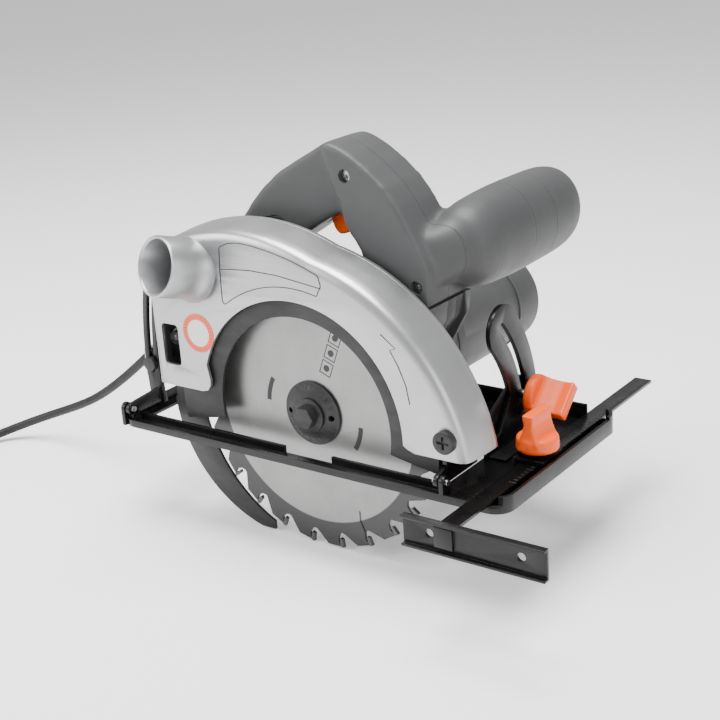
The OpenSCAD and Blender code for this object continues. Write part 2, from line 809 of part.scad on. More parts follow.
module lower_guard_lever() {
    color("#202020") at_arbor() union() {
        sector_y(80, 94, 12, 14, 183, 190);
        sector_y(84, 90, 12.5, 32, 185, 189);
        sector_y(82, 92, 31, 35, 183.5, 190);
    }
}

// Flat return spring wound round the lower guard's hub.
module lower_guard_spring() {
    color("silver") at_arbor() for (turn = [0:2])
        tube_y(0, 0, 25 + 1.2 * turn, 24.2 + 1.2 * turn, 8.7, 10.5);
}

module guard_retaining_ring() {
    color("silver") at_arbor() difference() {
        tube_y(0, 0, 22.5, nose_r, 7.1, 8.3);
        block([-2, 7, 10], [2, 9, 30]);
    }
}

// ---- Frame between the saw and the base ----

// Turns a shape drawn in Y and Z into a plate between two values of X.
module plate_x(x0, x1) {
    translate([x0, 0, 0]) rotate([90, 0, 90]) linear_extrude(x1 - x0) children();
}

bracket_x = 103;
bracket_t = 3;
bracket_low_z = -20;
pin_r = 2;
bolt_r = 2.7;
bolt_y = bevel_axis[0] + quadrant_r * cos(bolt_angle);
bolt_z = bevel_axis[1] + quadrant_r * sin(bolt_angle);

module front_bracket() {
    color("#202020") at_arbor() difference() {
        union() {
            rod_y(depth_pivot[0], depth_pivot[1], 6, -13.4, 6.1);
            plate_x(bracket_x, bracket_x + bracket_t) polygon([
                [-13.2, 7], [6, 7], [6, -8], [18, -8], [18, bracket_low_z], [-21, bracket_low_z],
                [-25, -16], [-21, -12], [-13.2, -9]
            ]);
            rod_x(bevel_axis[0], bevel_axis[1], 4, bracket_x, bracket_x + bracket_t);
            block([quadrant_x - 5, 15, bracket_low_z], [bracket_x + bracket_t, 20, -8]);
            plate_x(quadrant_x - 5, quadrant_x - 2) polygon([
                [15, bracket_low_z], [88, bracket_low_z], [92, -6], [90, 8], [84, 13], [74, 13], [40, -4],
                [15, -8]
            ]);
        }
        rod_y(depth_pivot[0], depth_pivot[1], 4.05, -14, 7);
        rod_x(bevel_axis[0], bevel_axis[1], pin_r + 0.05, bracket_x - 1, bracket_x + bracket_t + 1);
        rod_x(bolt_y, bolt_z, bolt_r, quadrant_x - 6, quadrant_x);
    }
}

arc_start = 160.5;
arc_stop = 185;
slot_half = 2;
rear_ear_x = -144;

// The slotted arc that sets the depth, with the foot that reaches the rear bevel pin.
module depth_arc() {
    color("#202020") at_arbor() difference() {
        union() {
            plate_y(depth_arc_y[0], depth_arc_y[1]) difference() {
                union() {
                    translate(depth_pivot) sector(depth_arc_r - 6, depth_arc_r + 6, arc_start, arc_stop);
                    polygon([[-147, -10], [-138.5, -10], [-137, bracket_low_z], [-147, bracket_low_z]]);
                }
                translate(depth_pivot) {
                    sector(depth_arc_r - slot_half, depth_arc_r + slot_half, arc_start + 2, 181);
                    for (end = [arc_start + 2, 181])
                        rotate(end) translate([depth_arc_r, 0]) circle(r = slot_half);
                }
            }
            plate_x(rear_ear_x, rear_ear_x + 3) polygon([
                [-21, bracket_low_z], [depth_arc_y[0] + 1, bracket_low_z], [depth_arc_y[0] + 1, -10],
                [-21, -12], [-25, -16]
            ]);
            rod_x(bevel_axis[0], bevel_axis[1], 4, rear_ear_x, rear_ear_x + 3);
        }
        rod_x(bevel_axis[0], bevel_axis[1], pin_r + 0.05, rear_ear_x - 1, rear_ear_x + 4);
    }
}

module depth_pivot_screw() {
    color("#303030") at_arbor() difference() {
        union() {
            rod_y(depth_pivot[0], depth_pivot[1], 4, guard_face_y - 1, guard_back_y);
            rod_y(depth_pivot[0], depth_pivot[1], 7, guard_face_y - 4, guard_face_y);
        }
        for (turn = [0, 90])
            translate([depth_pivot[0], guard_face_y - 5, depth_pivot[1]]) rotate([0, turn, 0])
                translate([-4, 0, -0.8]) cube([8, 2.6, 1.6]);
    }
}

module bevel_bolt() {
    color("silver") at_arbor() union() {
        rod_x(bolt_y, bolt_z, bolt_r, quadrant_x - 8, 122);
        rod_x(bolt_y, bolt_z, 6, quadrant_x - 9, quadrant_x - 5);
    }
}

// A wing knob standing on its axis: a round base and a tapered grip across it.
module wing_knob(base_r, base_h, wing_w, wing_t, wing_h) {
    cylinder(r = base_r, h = base_h);
    translate([-wing_w / 2, -wing_t / 2, 0]) cube([wing_w, wing_t, wing_h - 4]);
    translate([-wing_w / 2 + 3, -wing_t / 2 + 1.5, 0]) cube([wing_w - 6, wing_t - 3, wing_h]);
}

bevel_knob_x = 105;
module bevel_knob() {
    color("darkorange") at_arbor() difference() {
        translate([bevel_knob_x, bolt_y, bolt_z]) rotate([0, 90, 0]) union() {
            cylinder(r = 8, h = 6);
            translate([0, 0, 5]) rotate([0, 0, 65]) wing_knob(13.4, 6, 26, 13, 26);
        }
        rod_x(bolt_y, bolt_z, bolt_r + 0.05, 100, 122.1);
    }
}

module bevel_pins() {
    color("silver") at_arbor() for (x = [[bracket_x - 1.5, bracket_x + 8.5], [rear_ear_x - 5.5, rear_ear_x + 4.5]])
        rod_x(bevel_axis[0], bevel_axis[1], pin_r, x[0], x[1]);
}

// ---- Base ----

corner_r = 12;
// The base's outline seen from above, pulled in by d.
module base_outline(d) {
    translate([rear_x + d, near_y + corner_r]) square([base_length - 2 * d, base_width - 2 * corner_r]);
    translate([rear_x + corner_r, near_y + d]) square([base_length - 2 * corner_r, base_width - 2 * d]);
    for (x = [rear_x + corner_r, front_x - corner_r]) for (y = [near_y + corner_r, far_y - corner_r])
        translate([x, y]) circle(r = corner_r - d);
}

// A stretch of the wall round the base's edge, up to the height top, between two corners seen from above.
module edge_wall(low, high, top) {
    translate([0, 0, sole_z]) linear_extrude(top - sole_z) intersection() {
        difference() {
            base_outline(0);
            base_outline(sheet_t);
        }
        translate(low) square(high - low);
    }
}

opening_low = [-140, -13];
opening_high = [100, 92];
lug_front_x = 107;
lug_rear_x = -148.5;
saddle_y = [30, 54];
knob_y = 42;

module bevel_lug(x) {
    plate_x(x, x + 3) polygon([[-25, sole_z], [-17, sole_z], [-17, -16], [-25, -16]]);
    rod_x(bevel_axis[0], bevel_axis[1], 4, x, x + 3);
}

module base_plate() {
    color("#202020") at_arbor() difference() {
        union() {
            translate([0, 0, sole_z]) linear_extrude(sheet_t) base_outline(0);
            edge_wall([rear_x, near_y], [front_x, near_y + 4], -22.5);
            edge_wall([rear_x, near_y + 4], [rear_x + 20, far_y], -19);
            edge_wall([front_x - 20, near_y + 4], [front_x, far_y], -17);
            edge_wall([rear_x, far_y - 14], [front_x, far_y], -15);
            block([opening_low[0], opening_low[1] - sheet_t, sole_z], [-15, opening_low[1], -20.5]);
            block([22, opening_low[1] - sheet_t, sole_z], [opening_high[0], opening_low[1], -20.5]);
            block([opening_low[0], opening_high[1], sole_z],
                  [opening_high[0], opening_high[1] + sheet_t, -20.5]);
            bevel_lug(lug_front_x);
            bevel_lug(lug_rear_x);
            block([bar_x - 10.5, saddle_y[0], sole_z], [bar_x - 7.5, saddle_y[1], -17]);
            block([bar_x + 7.5, saddle_y[0], sole_z], [bar_x + 10.5, saddle_y[1], -17]);
            block([bar_x - 10.5, saddle_y[0], -19.4], [bar_x + 10.5, saddle_y[1], -17]);
            block([bar_x - bar_w / 2, saddle_y[0] + 2, sole_z],
                  [bar_x + bar_w / 2, saddle_y[1] - 2, bar_z - sheet_t - 0.3]);
        }
        block([opening_low[0], opening_low[1], sole_z - 1], [opening_high[0], opening_high[1], 0]);
        block([bar_x - 7, far_y - 4, bar_z - 2.5], [bar_x + 7, far_y + 1, 0]);
        rod_x(bevel_axis[0], bevel_axis[1], pin_r, lug_front_x - 1, lug_front_x + 4);
        rod_x(bevel_axis[0], bevel_axis[1], pin_r, lug_rear_x - 1, lug_rear_x + 4);
        translate([bar_x, knob_y, -20]) cylinder(r = 2.55, h = 5);
    }
}

// Part of a flat ring, for angles under half a turn.
module sector(r_in, r_out, a0, a1) {
    far = 2 * r_out;
    mid = (a0 + a1) / 2;
    intersection() {
        difference() {
            circle(r = r_out, $fn = 96);
            circle(r = r_in, $fn = 96);
        }
        polygon([[0, 0], far * [cos(a0), sin(a0)], far * [cos(mid), sin(mid)], far * [cos(a1), sin(a1)]]);
    }
}

quadrant_end = 40.5;
slot_end = bolt_angle + bevel_travel;
quadrant_in_r = quadrant_r - quadrant_half_width;
quadrant_out_r = quadrant_r + quadrant_half_width;
module bevel_quadrant() {
    color("#202020") at_arbor() union() {
        difference() {
            plate_x(quadrant_x - quadrant_t / 2, quadrant_x + quadrant_t / 2) difference() {
                union() {
                    translate(bevel_axis) sector(quadrant_in_r, quadrant_out_r, 5, quadrant_end);
                    translate(bevel_axis) rotate(quadrant_end)
                        translate([quadrant_r, 0]) circle(r = quadrant_half_width);
                    polygon([
                        [34, sole_z + sheet_t], [95, sole_z + sheet_t], [98, -4], [64, 6], [50, -14],
                        [34, -18]
                    ]);
                }
                translate(bevel_axis) {
                    sector(quadrant_r - 3, quadrant_r + 3, bolt_angle, slot_end);
                    for (end = [bolt_angle, slot_end])
                        rotate(end) translate([quadrant_r, 0]) circle(r = 3);
                }
            }
        }
        block([quadrant_x, 36, sole_z + sheet_t], [quadrant_x + 13, 92, sole_z + 2 * sheet_t]);
    }
}

fence_t = 2;
fence_low = -36.5;
fence_high = -17.5;
fence_x0 = 107.5;
fence_x1 = fence_x0 + fence_plate_length;
bar_low_x = bar_x - bar_w / 2;
bar_high_x = bar_x + bar_w / 2;
module rip_fence() {
    color("#202020") at_arbor() difference() {
        union() {
            block([bar_low_x, fence_y, bar_z - fence_t], [bar_high_x, fence_y + fence_bar_length, bar_z]);
            block([bar_low_x, fence_y - fence_t, fence_low + 4], [bar_high_x, fence_y, bar_z]);
            block([fence_x0, fence_y, fence_low], [fence_x1, fence_y + fence_t, fence_high]);
            block([fence_x0, fence_y - 3, fence_low], [fence_x1, fence_y, fence_low + 1.5]);
            block([fence_x0, fence_y - 3, fence_high - 1.5], [fence_x1, fence_y, fence_high]);
        }
        for (x = [bar_x - 10, bar_x - 10 + fence_hole_pitch])
            rod_y(x, -26, fence_hole_r, fence_y - 5, fence_y + 5);
        for (x = [125, 183])
            rod_y(x, -26, 3.6, fence_y - 5, fence_y);
    }
}

module fence_knob() {
    color("darkorange") at_arbor() translate([bar_x, knob_y, 0]) union() {
        translate([0, 0, -19.7]) cylinder(r = 2.5, h = 10);
        translate([0, 0, -16.6]) cylinder(r = 5, h = 4);
        translate([0, 0, -14]) rotate([0, 0, 30]) wing_knob(13, 9, 25, 12, 24);
    }
}

upper_guard();
guard_back_plate();
riving_knife();
riving_knife_screw();
dust_port();
gear_housing();
gear_case_cover();
motor_housing();
motor_end_cap();
housing_screws();
handle_near_shell();
handle_far_shell();
handle_screws();
handle_insert();
front_grip_base();
front_grip_cap();
switch_body();
strain_relief();
cord();
cord_coil();
cord_tie();
plug();
stator();
brush_holders();
carbon_brushes();
front_motor_bearing();
rear_motor_bearing();
spindle_bearing();
spindle_bush();
trigger();
lock_off_button();
spindle_lock();
depth_lever();
armature();
commutator();
fan();
motor_shaft();
pinion();
spindle();
spindle_gear();
inner_flange();
blade();
carbide_tips();
outer_flange();
blade_bolt();
lower_guard();
lower_guard_lever();
lower_guard_spring();
guard_retaining_ring();
front_bracket();
depth_arc();
depth_pivot_screw();
bevel_bolt();
bevel_knob();
bevel_pins();
base_plate();
bevel_quadrant();
rip_fence();
fence_knob();
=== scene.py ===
# %% [markdown]
# # A hand-held circular saw
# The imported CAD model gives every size, axis and joint of the saw. This lesson dresses it: castings with soft
# edges, moulded plastic, brushed steel, painted pressings and a rubber cord. Lengths below are millimetres from
# the blade's centre, because that is how a saw is drawn, and one helper turns them into the frame's metres.

# %% Load the frame and remember its size
import math

import bmesh
import bpy
from mathutils import Matrix, Vector, geometry


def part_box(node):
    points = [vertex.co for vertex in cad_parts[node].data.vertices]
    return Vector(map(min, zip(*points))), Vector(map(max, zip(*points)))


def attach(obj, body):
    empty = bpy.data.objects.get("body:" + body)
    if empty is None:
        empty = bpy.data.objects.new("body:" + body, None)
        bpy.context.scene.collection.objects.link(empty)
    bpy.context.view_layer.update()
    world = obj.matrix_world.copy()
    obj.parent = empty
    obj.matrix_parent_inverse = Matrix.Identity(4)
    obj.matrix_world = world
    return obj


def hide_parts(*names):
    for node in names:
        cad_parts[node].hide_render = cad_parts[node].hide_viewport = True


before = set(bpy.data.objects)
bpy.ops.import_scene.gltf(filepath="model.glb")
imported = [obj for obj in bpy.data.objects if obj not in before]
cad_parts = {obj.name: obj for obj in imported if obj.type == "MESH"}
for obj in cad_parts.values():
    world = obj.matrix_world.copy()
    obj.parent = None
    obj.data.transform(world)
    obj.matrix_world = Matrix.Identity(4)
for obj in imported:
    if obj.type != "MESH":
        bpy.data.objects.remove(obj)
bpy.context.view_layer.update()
MM = 0.001
blade_low, blade_high = (Vector(corner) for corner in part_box("blade"))
ARBOR = (blade_low + blade_high) / 2
print("arbor at", [round(v, 4) for v in ARBOR])


def at(x, y, z):
    """A point given in millimetres from the blade's centre, in the frame's metres."""
    return Vector((x, y, z)) * MM + ARBOR


# %% [markdown]
# ## Camera first
# The camera stands to the front right of the saw and looks slightly down, with a short telephoto lens and a
# small roll. It comes first because the cord's hidden length has to lie outside what it sees.

# %% Camera
def add_camera():
    right = Vector((0.81001854, 0.58270527, -0.06576118))
    up = Vector((-0.14967726, 0.31387816, 0.93759118))
    back = Vector((0.56698032, -0.74962328, 0.34146486))
    data = bpy.data.cameras.new("camera")
    data.lens = 70.93
    data.sensor_width = 36
    data.clip_end = 20
    camera = bpy.data.objects.new("camera", data)
    turn = Matrix((right, up, back)).transposed().to_4x4()
    camera.matrix_world = Matrix.Translation(at(522.729, -640.737, 332.701)) @ turn
    bpy.context.scene.collection.objects.link(camera)
    bpy.context.scene.camera = camera
    return camera


camera = add_camera()
print("camera stands", round((camera.location - ARBOR).length, 3), "m from the arbor")

# %% [markdown]
# ## Finishes
# Every finish is a small node tree on Object coordinates, so it stays put when a body moves. One helper makes the
# shader, a second adds a fine bump, and each finish is then a short function of its own.

# %% Material helpers
def shader(name, color, rough, metal=0.0, coat=0.0, spec=0.5):
    material = bpy.data.materials.new(name)
    material.use_nodes = True
    tree = material.node_tree
    surface = tree.nodes["Principled BSDF"]
    surface.inputs["Base Color"].default_value = (*color, 1)
    surface.inputs["Roughness"].default_value = rough
    surface.inputs["Metallic"].default_value = metal
    surface.inputs["Coat Weight"].default_value = coat
    surface.inputs["Coat Roughness"].default_value = 0.08
    surface.inputs["Specular IOR Level"].default_value = spec
    return material, tree, surface


def node(tree, kind, **settings):
    made = tree.nodes.new(kind)
    for key, value in settings.items():
        if key in made.inputs:
            made.inputs[key].default_value = value
        else:
            setattr(made, key, value)
    return made


def object_space(tree, scale=(1, 1, 1), turn=(0, 0, 0), shift=(0, 0, 0)):
    """Object coordinates, moved, turned and stretched by a Mapping node."""
    source = node(tree, "ShaderNodeTexCoord")
    mapping = node(tree, "ShaderNodeMapping")
    mapping.inputs["Scale"].default_value = scale
    mapping.inputs["Rotation"].default_value = turn
    mapping.inputs["Location"].default_value = shift
    tree.links.new(source.outputs["Object"], mapping.inputs["Vector"])
    return mapping.outputs["Vector"]


def noise(tree, vector, scale, detail=4.0, rough=0.6):
    made = node(tree, "ShaderNodeTexNoise", Scale=scale, Detail=detail, Roughness=rough)
    tree.links.new(vector, made.inputs["Vector"])
    return made.outputs["Fac"]


def span(tree, value, low, high, start=0.3, stop=0.7):
    """Maps a noise value onto the range low to high."""
    made = node(tree, "ShaderNodeMapRange")
    for key, number in zip(("From Min", "From Max", "To Min", "To Max"), (start, stop, low, high)):
        made.inputs[key].default_value = number
    tree.links.new(value, made.inputs["Value"])
    return made.outputs["Result"]


def blend_colors(tree, value, first, second):
    """Mixes two colours by a value. The first may also be the output of another node."""
    mix = node(tree, "ShaderNodeMix", data_type="RGBA")
    low, high = (socket for socket in mix.inputs if socket.type == "RGBA")
    if isinstance(first, tuple):
        low.default_value = (*first, 1)
    else:
        tree.links.new(first, low)
    high.default_value = (*second, 1)
    tree.links.new(value, mix.inputs["Factor"])
    return next(socket for socket in mix.outputs if socket.type == "RGBA")


def tint(tree, surface, value, dark, light):
    tree.links.new(blend_colors(tree, value, dark, light), surface.inputs["Base Color"])


def bump(tree, surface, height, strength, distance):
    made = node(tree, "ShaderNodeBump", Strength=strength, Distance=distance)
    tree.links.new(height, made.inputs["Height"])
    tree.links.new(made.outputs["Normal"], surface.inputs["Normal"])


# %% Cast, plastic, painted and steel finishes
def cast_aluminium():
    """Sprayed silver over die-cast metal: very fine grain and soft cloudy shading."""
    material, tree, surface = shader("silver_cast", (0.5, 0.5, 0.51), 0.36, metal=0.85)
    here = object_space(tree)
    tint(tree, surface, span(tree, noise(tree, here, 9), 0, 1), (0.4, 0.404, 0.412), (0.47, 0.472, 0.48))
    tree.links.new(span(tree, noise(tree, here, 40), 0.31, 0.4), surface.inputs["Roughness"])
    bump(tree, surface, noise(tree, here, 1800, 3), 0.12, 0.0002)
    return material


def moulded(name, dark, light, rough, grain=1500, depth=0.16):
    """Injection-moulded plastic with a fine spark-eroded grain and slightly polished high spots."""
    material, tree, surface = shader(name, light, rough, spec=0.4)
    here = object_space(tree)
    tint(tree, surface, span(tree, noise(tree, here, 14), 0, 1), dark, light)
    tree.links.new(span(tree, noise(tree, here, 60), rough - 0.04, rough + 0.05), surface.inputs["Roughness"])
    bump(tree, surface, noise(tree, here, grain, 2), depth, 0.00015)
    return material


def painted_steel():
    """Black stoving enamel on sheet steel: glossy, with a faint orange peel."""
    material, tree, surface = shader("black_paint", (0.004, 0.004, 0.004), 0.3, spec=0.3)
    here = object_space(tree)
    tint(tree, surface, span(tree, noise(tree, here, 30), 0, 1), (0.002, 0.002, 0.002), (0.005, 0.005, 0.005))
    tree.links.new(span(tree, noise(tree, here, 55), 0.24, 0.36), surface.inputs["Roughness"])
    bump(tree, surface, noise(tree, here, 420, 1), 0.1, 0.0002)
    return material


def oxide_steel(name, dark, light, rough):
    """Blackened steel with faint rolling marks."""
    material, tree, surface = shader(name, dark, rough, metal=0.25, spec=0.35)
    here = object_space(tree, scale=(1, 1, 3))
    tint(tree, surface, span(tree, noise(tree, here, 35, 6), 0, 1), dark, light)
    tree.links.new(span(tree, noise(tree, here, 80), rough - 0.06, rough + 0.08), surface.inputs["Roughness"])
    bump(tree, surface, noise(tree, here, 900, 2), 0.08, 0.0002)
    return material


def machined(name, color, rough=0.3, metal=1.0):
    """Turned or ground metal: bright with thin streaks."""
    material, tree, surface = shader(name, color, rough, metal=metal)
    here = object_space(tree, scale=(1, 6, 1))
    darker = tuple(0.8 * value for value in color)
    tint(tree, surface, span(tree, noise(tree, here, 120, 5), 0, 1), darker, color)
    tree.links.new(span(tree, noise(tree, here, 200), rough - 0.08, rough + 0.1), surface.inputs["Roughness"])
    return material


def rubber():
    material, tree, surface = shader("rubber", (0.012, 0.012, 0.012), 0.55, spec=0.35)
    here = object_space(tree)
    tint(tree, surface, span(tree, noise(tree, here, 50), 0, 1), (0.008, 0.008, 0.008), (0.02, 0.02, 0.02))
    bump(tree, surface, noise(tree, here, 700, 2), 0.1, 0.0002)
    return material


def blade_steel():
    """Ground saw plate: rings of fine scratches about the arbor, and a darker unground rim with the teeth."""
    material, tree, surface = shader("blade_steel", (0.5, 0.5, 0.49), 0.34, metal=0.85)
    source = node(tree, "ShaderNodeTexCoord")
    centred = node(tree, "ShaderNodeVectorMath", operation="SUBTRACT")
    centred.inputs[1].default_value = tuple(ARBOR)
    tree.links.new(source.outputs["Object"], centred.inputs[0])
    flat = node(tree, "ShaderNodeVectorMath", operation="MULTIPLY")
    flat.inputs[1].default_value = (1, 0, 1)
    tree.links.new(centred.outputs["Vector"], flat.inputs[0])
    reach = node(tree, "ShaderNodeVectorMath", operation="LENGTH")
    tree.links.new(flat.outputs["Vector"], reach.inputs[0])
    radius = reach.outputs["Value"]
    rings = node(tree, "ShaderNodeTexNoise", noise_dimensions="1D", Scale=2600.0, Detail=3.0)
    tree.links.new(radius, rings.inputs["W"])
    cloud = noise(tree, flat.outputs["Vector"], 26, 5)
    mixed = node(tree, "ShaderNodeMath", operation="MULTIPLY_ADD")
    mixed.inputs[1].default_value = 0.55
    tree.links.new(rings.outputs["Fac"], mixed.inputs[0])
    tree.links.new(span(tree, cloud, 0.1, 0.45), mixed.inputs[2])
    # The ground part of the plate ends just inside the tooth gullets
    unground = span(tree, radius, 0, 1, 0.0744, 0.0752)
    plate = blend_colors(tree, mixed.outputs["Value"], (0.13, 0.13, 0.128), (0.36, 0.36, 0.355))
    tree.links.new(blend_colors(tree, unground, plate, (0.06, 0.06, 0.06)), surface.inputs["Base Color"])
    tree.links.new(span(tree, cloud, 0.3, 0.42), surface.inputs["Roughness"])
    bump(tree, surface, rings.outputs["Fac"], 0.08, 0.0001)
    return material


FINISH = {
    "silver": cast_aluminium(),
    "grey": moulded("grey_plastic", (0.05, 0.051, 0.052), (0.062, 0.063, 0.064), 0.5),
    "dark": moulded("dark_plastic", (0.006, 0.006, 0.006), (0.012, 0.012, 0.012), 0.42),
    "orange": moulded("orange_plastic", (0.9, 0.085, 0.0), (0.98, 0.115, 0.001), 0.36, grain=500, depth=0.06),
    "paint": painted_steel(),
    "oxide": oxide_steel("dark_oxide", (0.016, 0.016, 0.016), (0.03, 0.03, 0.03), 0.45),
    "flange": oxide_steel("flange_steel", (0.015, 0.015, 0.016), (0.035, 0.035, 0.035), 0.4),
    "blade": blade_steel(),
    "carbide": machined("carbide", (0.1, 0.1, 0.1), 0.42, 0.7),
    "bright": machined("bright_steel", (0.55, 0.55, 0.55)),
    "copper": machined("copper", (0.72, 0.35, 0.18)),
    "bronze": machined("bronze", (0.55, 0.38, 0.17), 0.4),
    "scale": oxide_steel("scale_steel", (0.05, 0.05, 0.05), (0.08, 0.08, 0.08), 0.45),
    "rubber": rubber(),
    "ink": moulded("black_ink", (0.015, 0.015, 0.015), (0.03, 0.03, 0.03), 0.5, grain=300, depth=0.02),
    "sticker": moulded("red_sticker", (0.78, 0.1, 0.03), (0.86, 0.14, 0.05), 0.35, grain=300, depth=0.02),
    "paper": moulded("pale_sticker", (0.72, 0.71, 0.69), (0.8, 0.79, 0.77), 0.4, grain=300, depth=0.02),
}
print(len(FINISH), "finishes")

# %% [markdown]
# ## Mesh helpers
# A pressed or turned CAD node already has the right shape but knife-sharp edges. Real edges catch a thin line of
# light, so `soften` copies a node's mesh, joins its loose triangles into flat faces and bevels the corners.
# Freer shapes are written as points and faces, and `place` puts them in the frame.

# %% Mesh helpers
def link(mesh, name):
    made = bpy.data.objects.new(name, mesh)
    bpy.context.scene.collection.objects.link(made)
    return made


def smooth(mesh, angle=35):
    for face in mesh.polygons:
        face.use_smooth = True
    mesh.set_sharp_from_angle(angle=math.radians(angle))


def weld(mesh):
    """Joins points that lie on each other and turns all faces outwards."""
    bm = bmesh.new()
    bm.from_mesh(mesh)
    bmesh.ops.remove_doubles(bm, verts=bm.verts, dist=1e-6)
    bmesh.ops.recalc_face_normals(bm, faces=bm.faces)
    bm.to_mesh(mesh)
    bm.free()


def place(name, points, faces, finish, angle=35):
    """A mesh from points in millimetres about the blade's centre."""
    mesh = bpy.data.meshes.new(name)
    mesh.from_pydata([at(*point) for point in points], [], faces)
    mesh.materials.append(FINISH[finish])
    weld(mesh)
    smooth(mesh, angle)
    return link(mesh, name)


def curve_mesh(curve):
    """The mesh that a curve makes. The curve's own object is removed."""
    holder = link(curve, curve.name + "_curve")
    mesh = bpy.data.meshes.new_from_object(holder.evaluated_get(bpy.context.evaluated_depsgraph_get()))
    bpy.data.objects.remove(holder)
    return mesh


def flat_curve(name, rings):
    """A filled flat curve from closed rings of (x, z) points."""
    curve = bpy.data.curves.new(name, "CURVE")
    curve.dimensions = "2D"
    curve.fill_mode = "BOTH"
    for ring in rings:
        spline = curve.splines.new("POLY")
        spline.points.add(len(ring) - 1)
        for point, (x, z) in zip(spline.points, ring):
            point.co = (x * MM, z * MM, 0, 1)
        spline.use_cyclic_u = True
    return curve


def stand_up(mesh, y):
    """Turns a mesh drawn in X and Y into the plane across Y."""
    mesh.transform(Matrix(((1, 0, 0, 0), (0, 0, -1, 0), (0, 1, 0, 0), (0, 0, 0, 1))))
    mesh.transform(Matrix.Translation(at(0, y, 0)))
    return mesh


def bake(piece, angle=35):
    """Applies a piece's modifiers and leaves a plain mesh."""
    graph = bpy.context.evaluated_depsgraph_get()
    graph.update()
    mesh = bpy.data.meshes.new_from_object(piece.evaluated_get(graph))
    piece.modifiers.clear()
    piece.data = mesh
    smooth(mesh, angle)
    return piece


def add_bevel(piece, width, segments=3, angle=30):
    bevel = piece.modifiers.new("bevel", "BEVEL")
    bevel.width = width * MM
    bevel.segments = segments
    bevel.limit_method = "ANGLE"
    bevel.angle_limit = math.radians(angle)
    bevel.harden_normals = False
    return bevel


def own(piece, body, slot, *nodes):
    """Rides a piece on its body and hides the CAD nodes it stands for. The slot is not used."""
    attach(piece, body)
    if nodes:
        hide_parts(*nodes)
    return piece


def copy_node(name, new_name):
    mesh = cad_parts[name].data.copy()
    bm = bmesh.new()
    bm.from_mesh(mesh)
    bmesh.ops.remove_doubles(bm, verts=bm.verts, dist=2e-6)
    bmesh.ops.dissolve_limit(bm, angle_limit=math.radians(0.5), verts=bm.verts, edges=bm.edges)
    bm.to_mesh(mesh)
    bm.free()
    return link(mesh, new_name)


def soften(name, body, slot, finish, width=0.5, segments=2, angle=30):
    """A CAD node's shape with soft edges and a proper finish."""
    piece = copy_node(name, name + "_shape")
    piece.data.materials.clear()
    piece.data.materials.append(FINISH[finish])
    add_bevel(piece, width, segments, angle)
    bake(piece)
    return own(piece, body, slot, name)


def lathe(name, profile, centre, axis, finish, steps=72, angle=35, closed=False):
    """Turns a profile of (radius, height) about an axis through centre, in millimetres."""
    axis = Vector(axis).normalized()
    side = axis.orthogonal().normalized()
    other = axis.cross(side)
    points, faces = [], []
    for turn in range(steps):
        a = 2 * math.pi * turn / steps
        out = side * math.cos(a) + other * math.sin(a)
        for radius, height in profile:
            points.append(Vector(centre) + out * radius + axis * height)
    rows = len(profile)
    spans = rows if closed else rows - 1
    for turn in range(steps):
        ahead = (turn + 1) % steps
        for row in range(spans):
            up = (row + 1) % rows
            faces.append((turn * rows + row, turn * rows + up, ahead * rows + up, ahead * rows + row))
    return place(name, points, faces, finish, angle)


def sheet_outline(name, outline, holes, y0, y1, finish, rim=0.0, segments=3):
    """A flat plate across Y from an outline in X and Z, with holes and softly rolled edges."""
    curve = flat_curve(name, [outline, *holes])
    half = abs(y1 - y0) / 2
    curve.extrude = (half - rim) * MM
    curve.bevel_depth = rim * MM
    curve.offset = -rim * MM
    curve.bevel_resolution = segments
    mesh = stand_up(curve_mesh(curve), (y0 + y1) / 2)
    mesh.materials.clear()
    mesh.materials.append(FINISH[finish])
    for face in mesh.polygons:
        face.material_index = 0
    weld(mesh)
    smooth(mesh)
    return link(mesh, name)


def rounded(points, radius, steps=6):
    """A closed outline with each corner turned into a short arc."""
    ring = []
    count = len(points)
    for index, corner in enumerate(points):
        here = Vector(corner)
        before = Vector(points[index - 1]) - here
        after = Vector(points[(index + 1) % count]) - here
        reach = min(radius, before.length * 0.48, after.length * 0.48)
        start = here + before.normalized() * reach
        stop = here + after.normalized() * reach
        for step in range(steps + 1):
            t = step / steps
            ring.append(tuple((1 - t) ** 2 * start + 2 * t * (1 - t) * here + t * t * stop))
    return ring


def arc(radius, start, stop, steps, centre=(0, 0)):
    """Points of an arc in X and Z, angles in degrees from +X towards +Z."""
    turns = [math.radians(start + (stop - start) * step / steps) for step in range(steps + 1)]
    return [(centre[0] + radius * math.cos(a), centre[1] + radius * math.sin(a)) for a in turns]


def line(name, points, radius, finish, closed=False):
    """A thin raised line through points in millimetres."""
    curve = bpy.data.curves.new(name, "CURVE")
    curve.dimensions = "3D"
    curve.bevel_depth = radius * MM
    curve.bevel_resolution = 2
    curve.use_fill_caps = True
    spline = curve.splines.new("POLY")
    spline.points.add(len(points) - 1)
    for target, point in zip(spline.points, points):
        target.co = (*at(*point), 1)
    spline.use_cyclic_u = closed
    mesh = curve_mesh(curve)
    mesh.materials.clear()
    mesh.materials.append(FINISH[finish])
    smooth(mesh, 60)
    return link(mesh, name)


def join(name, pieces):
    """One mesh out of several."""
    bm = bmesh.new()
    material = pieces[0].data.materials[0]
    for piece in pieces:
        bm.from_mesh(piece.data)
        bpy.data.objects.remove(piece)
    mesh = bpy.data.meshes.new(name)
    bm.to_mesh(mesh)
    bm.free()
    mesh.materials.append(material)
    smooth(mesh)
    return link(mesh, name)


print("helpers ready")

# %% [markdown]
# ## The cord
# A two-core rubber lead leaves the handle's heel, falls behind the saw to the floor and is put away in a tied
# coil. One open spline follows the same route as the CAD tube. The coil is worked out turn by turn: two turns lie
# side by side, the next ones lie on them, and the last half turn steps down outside to the plug.

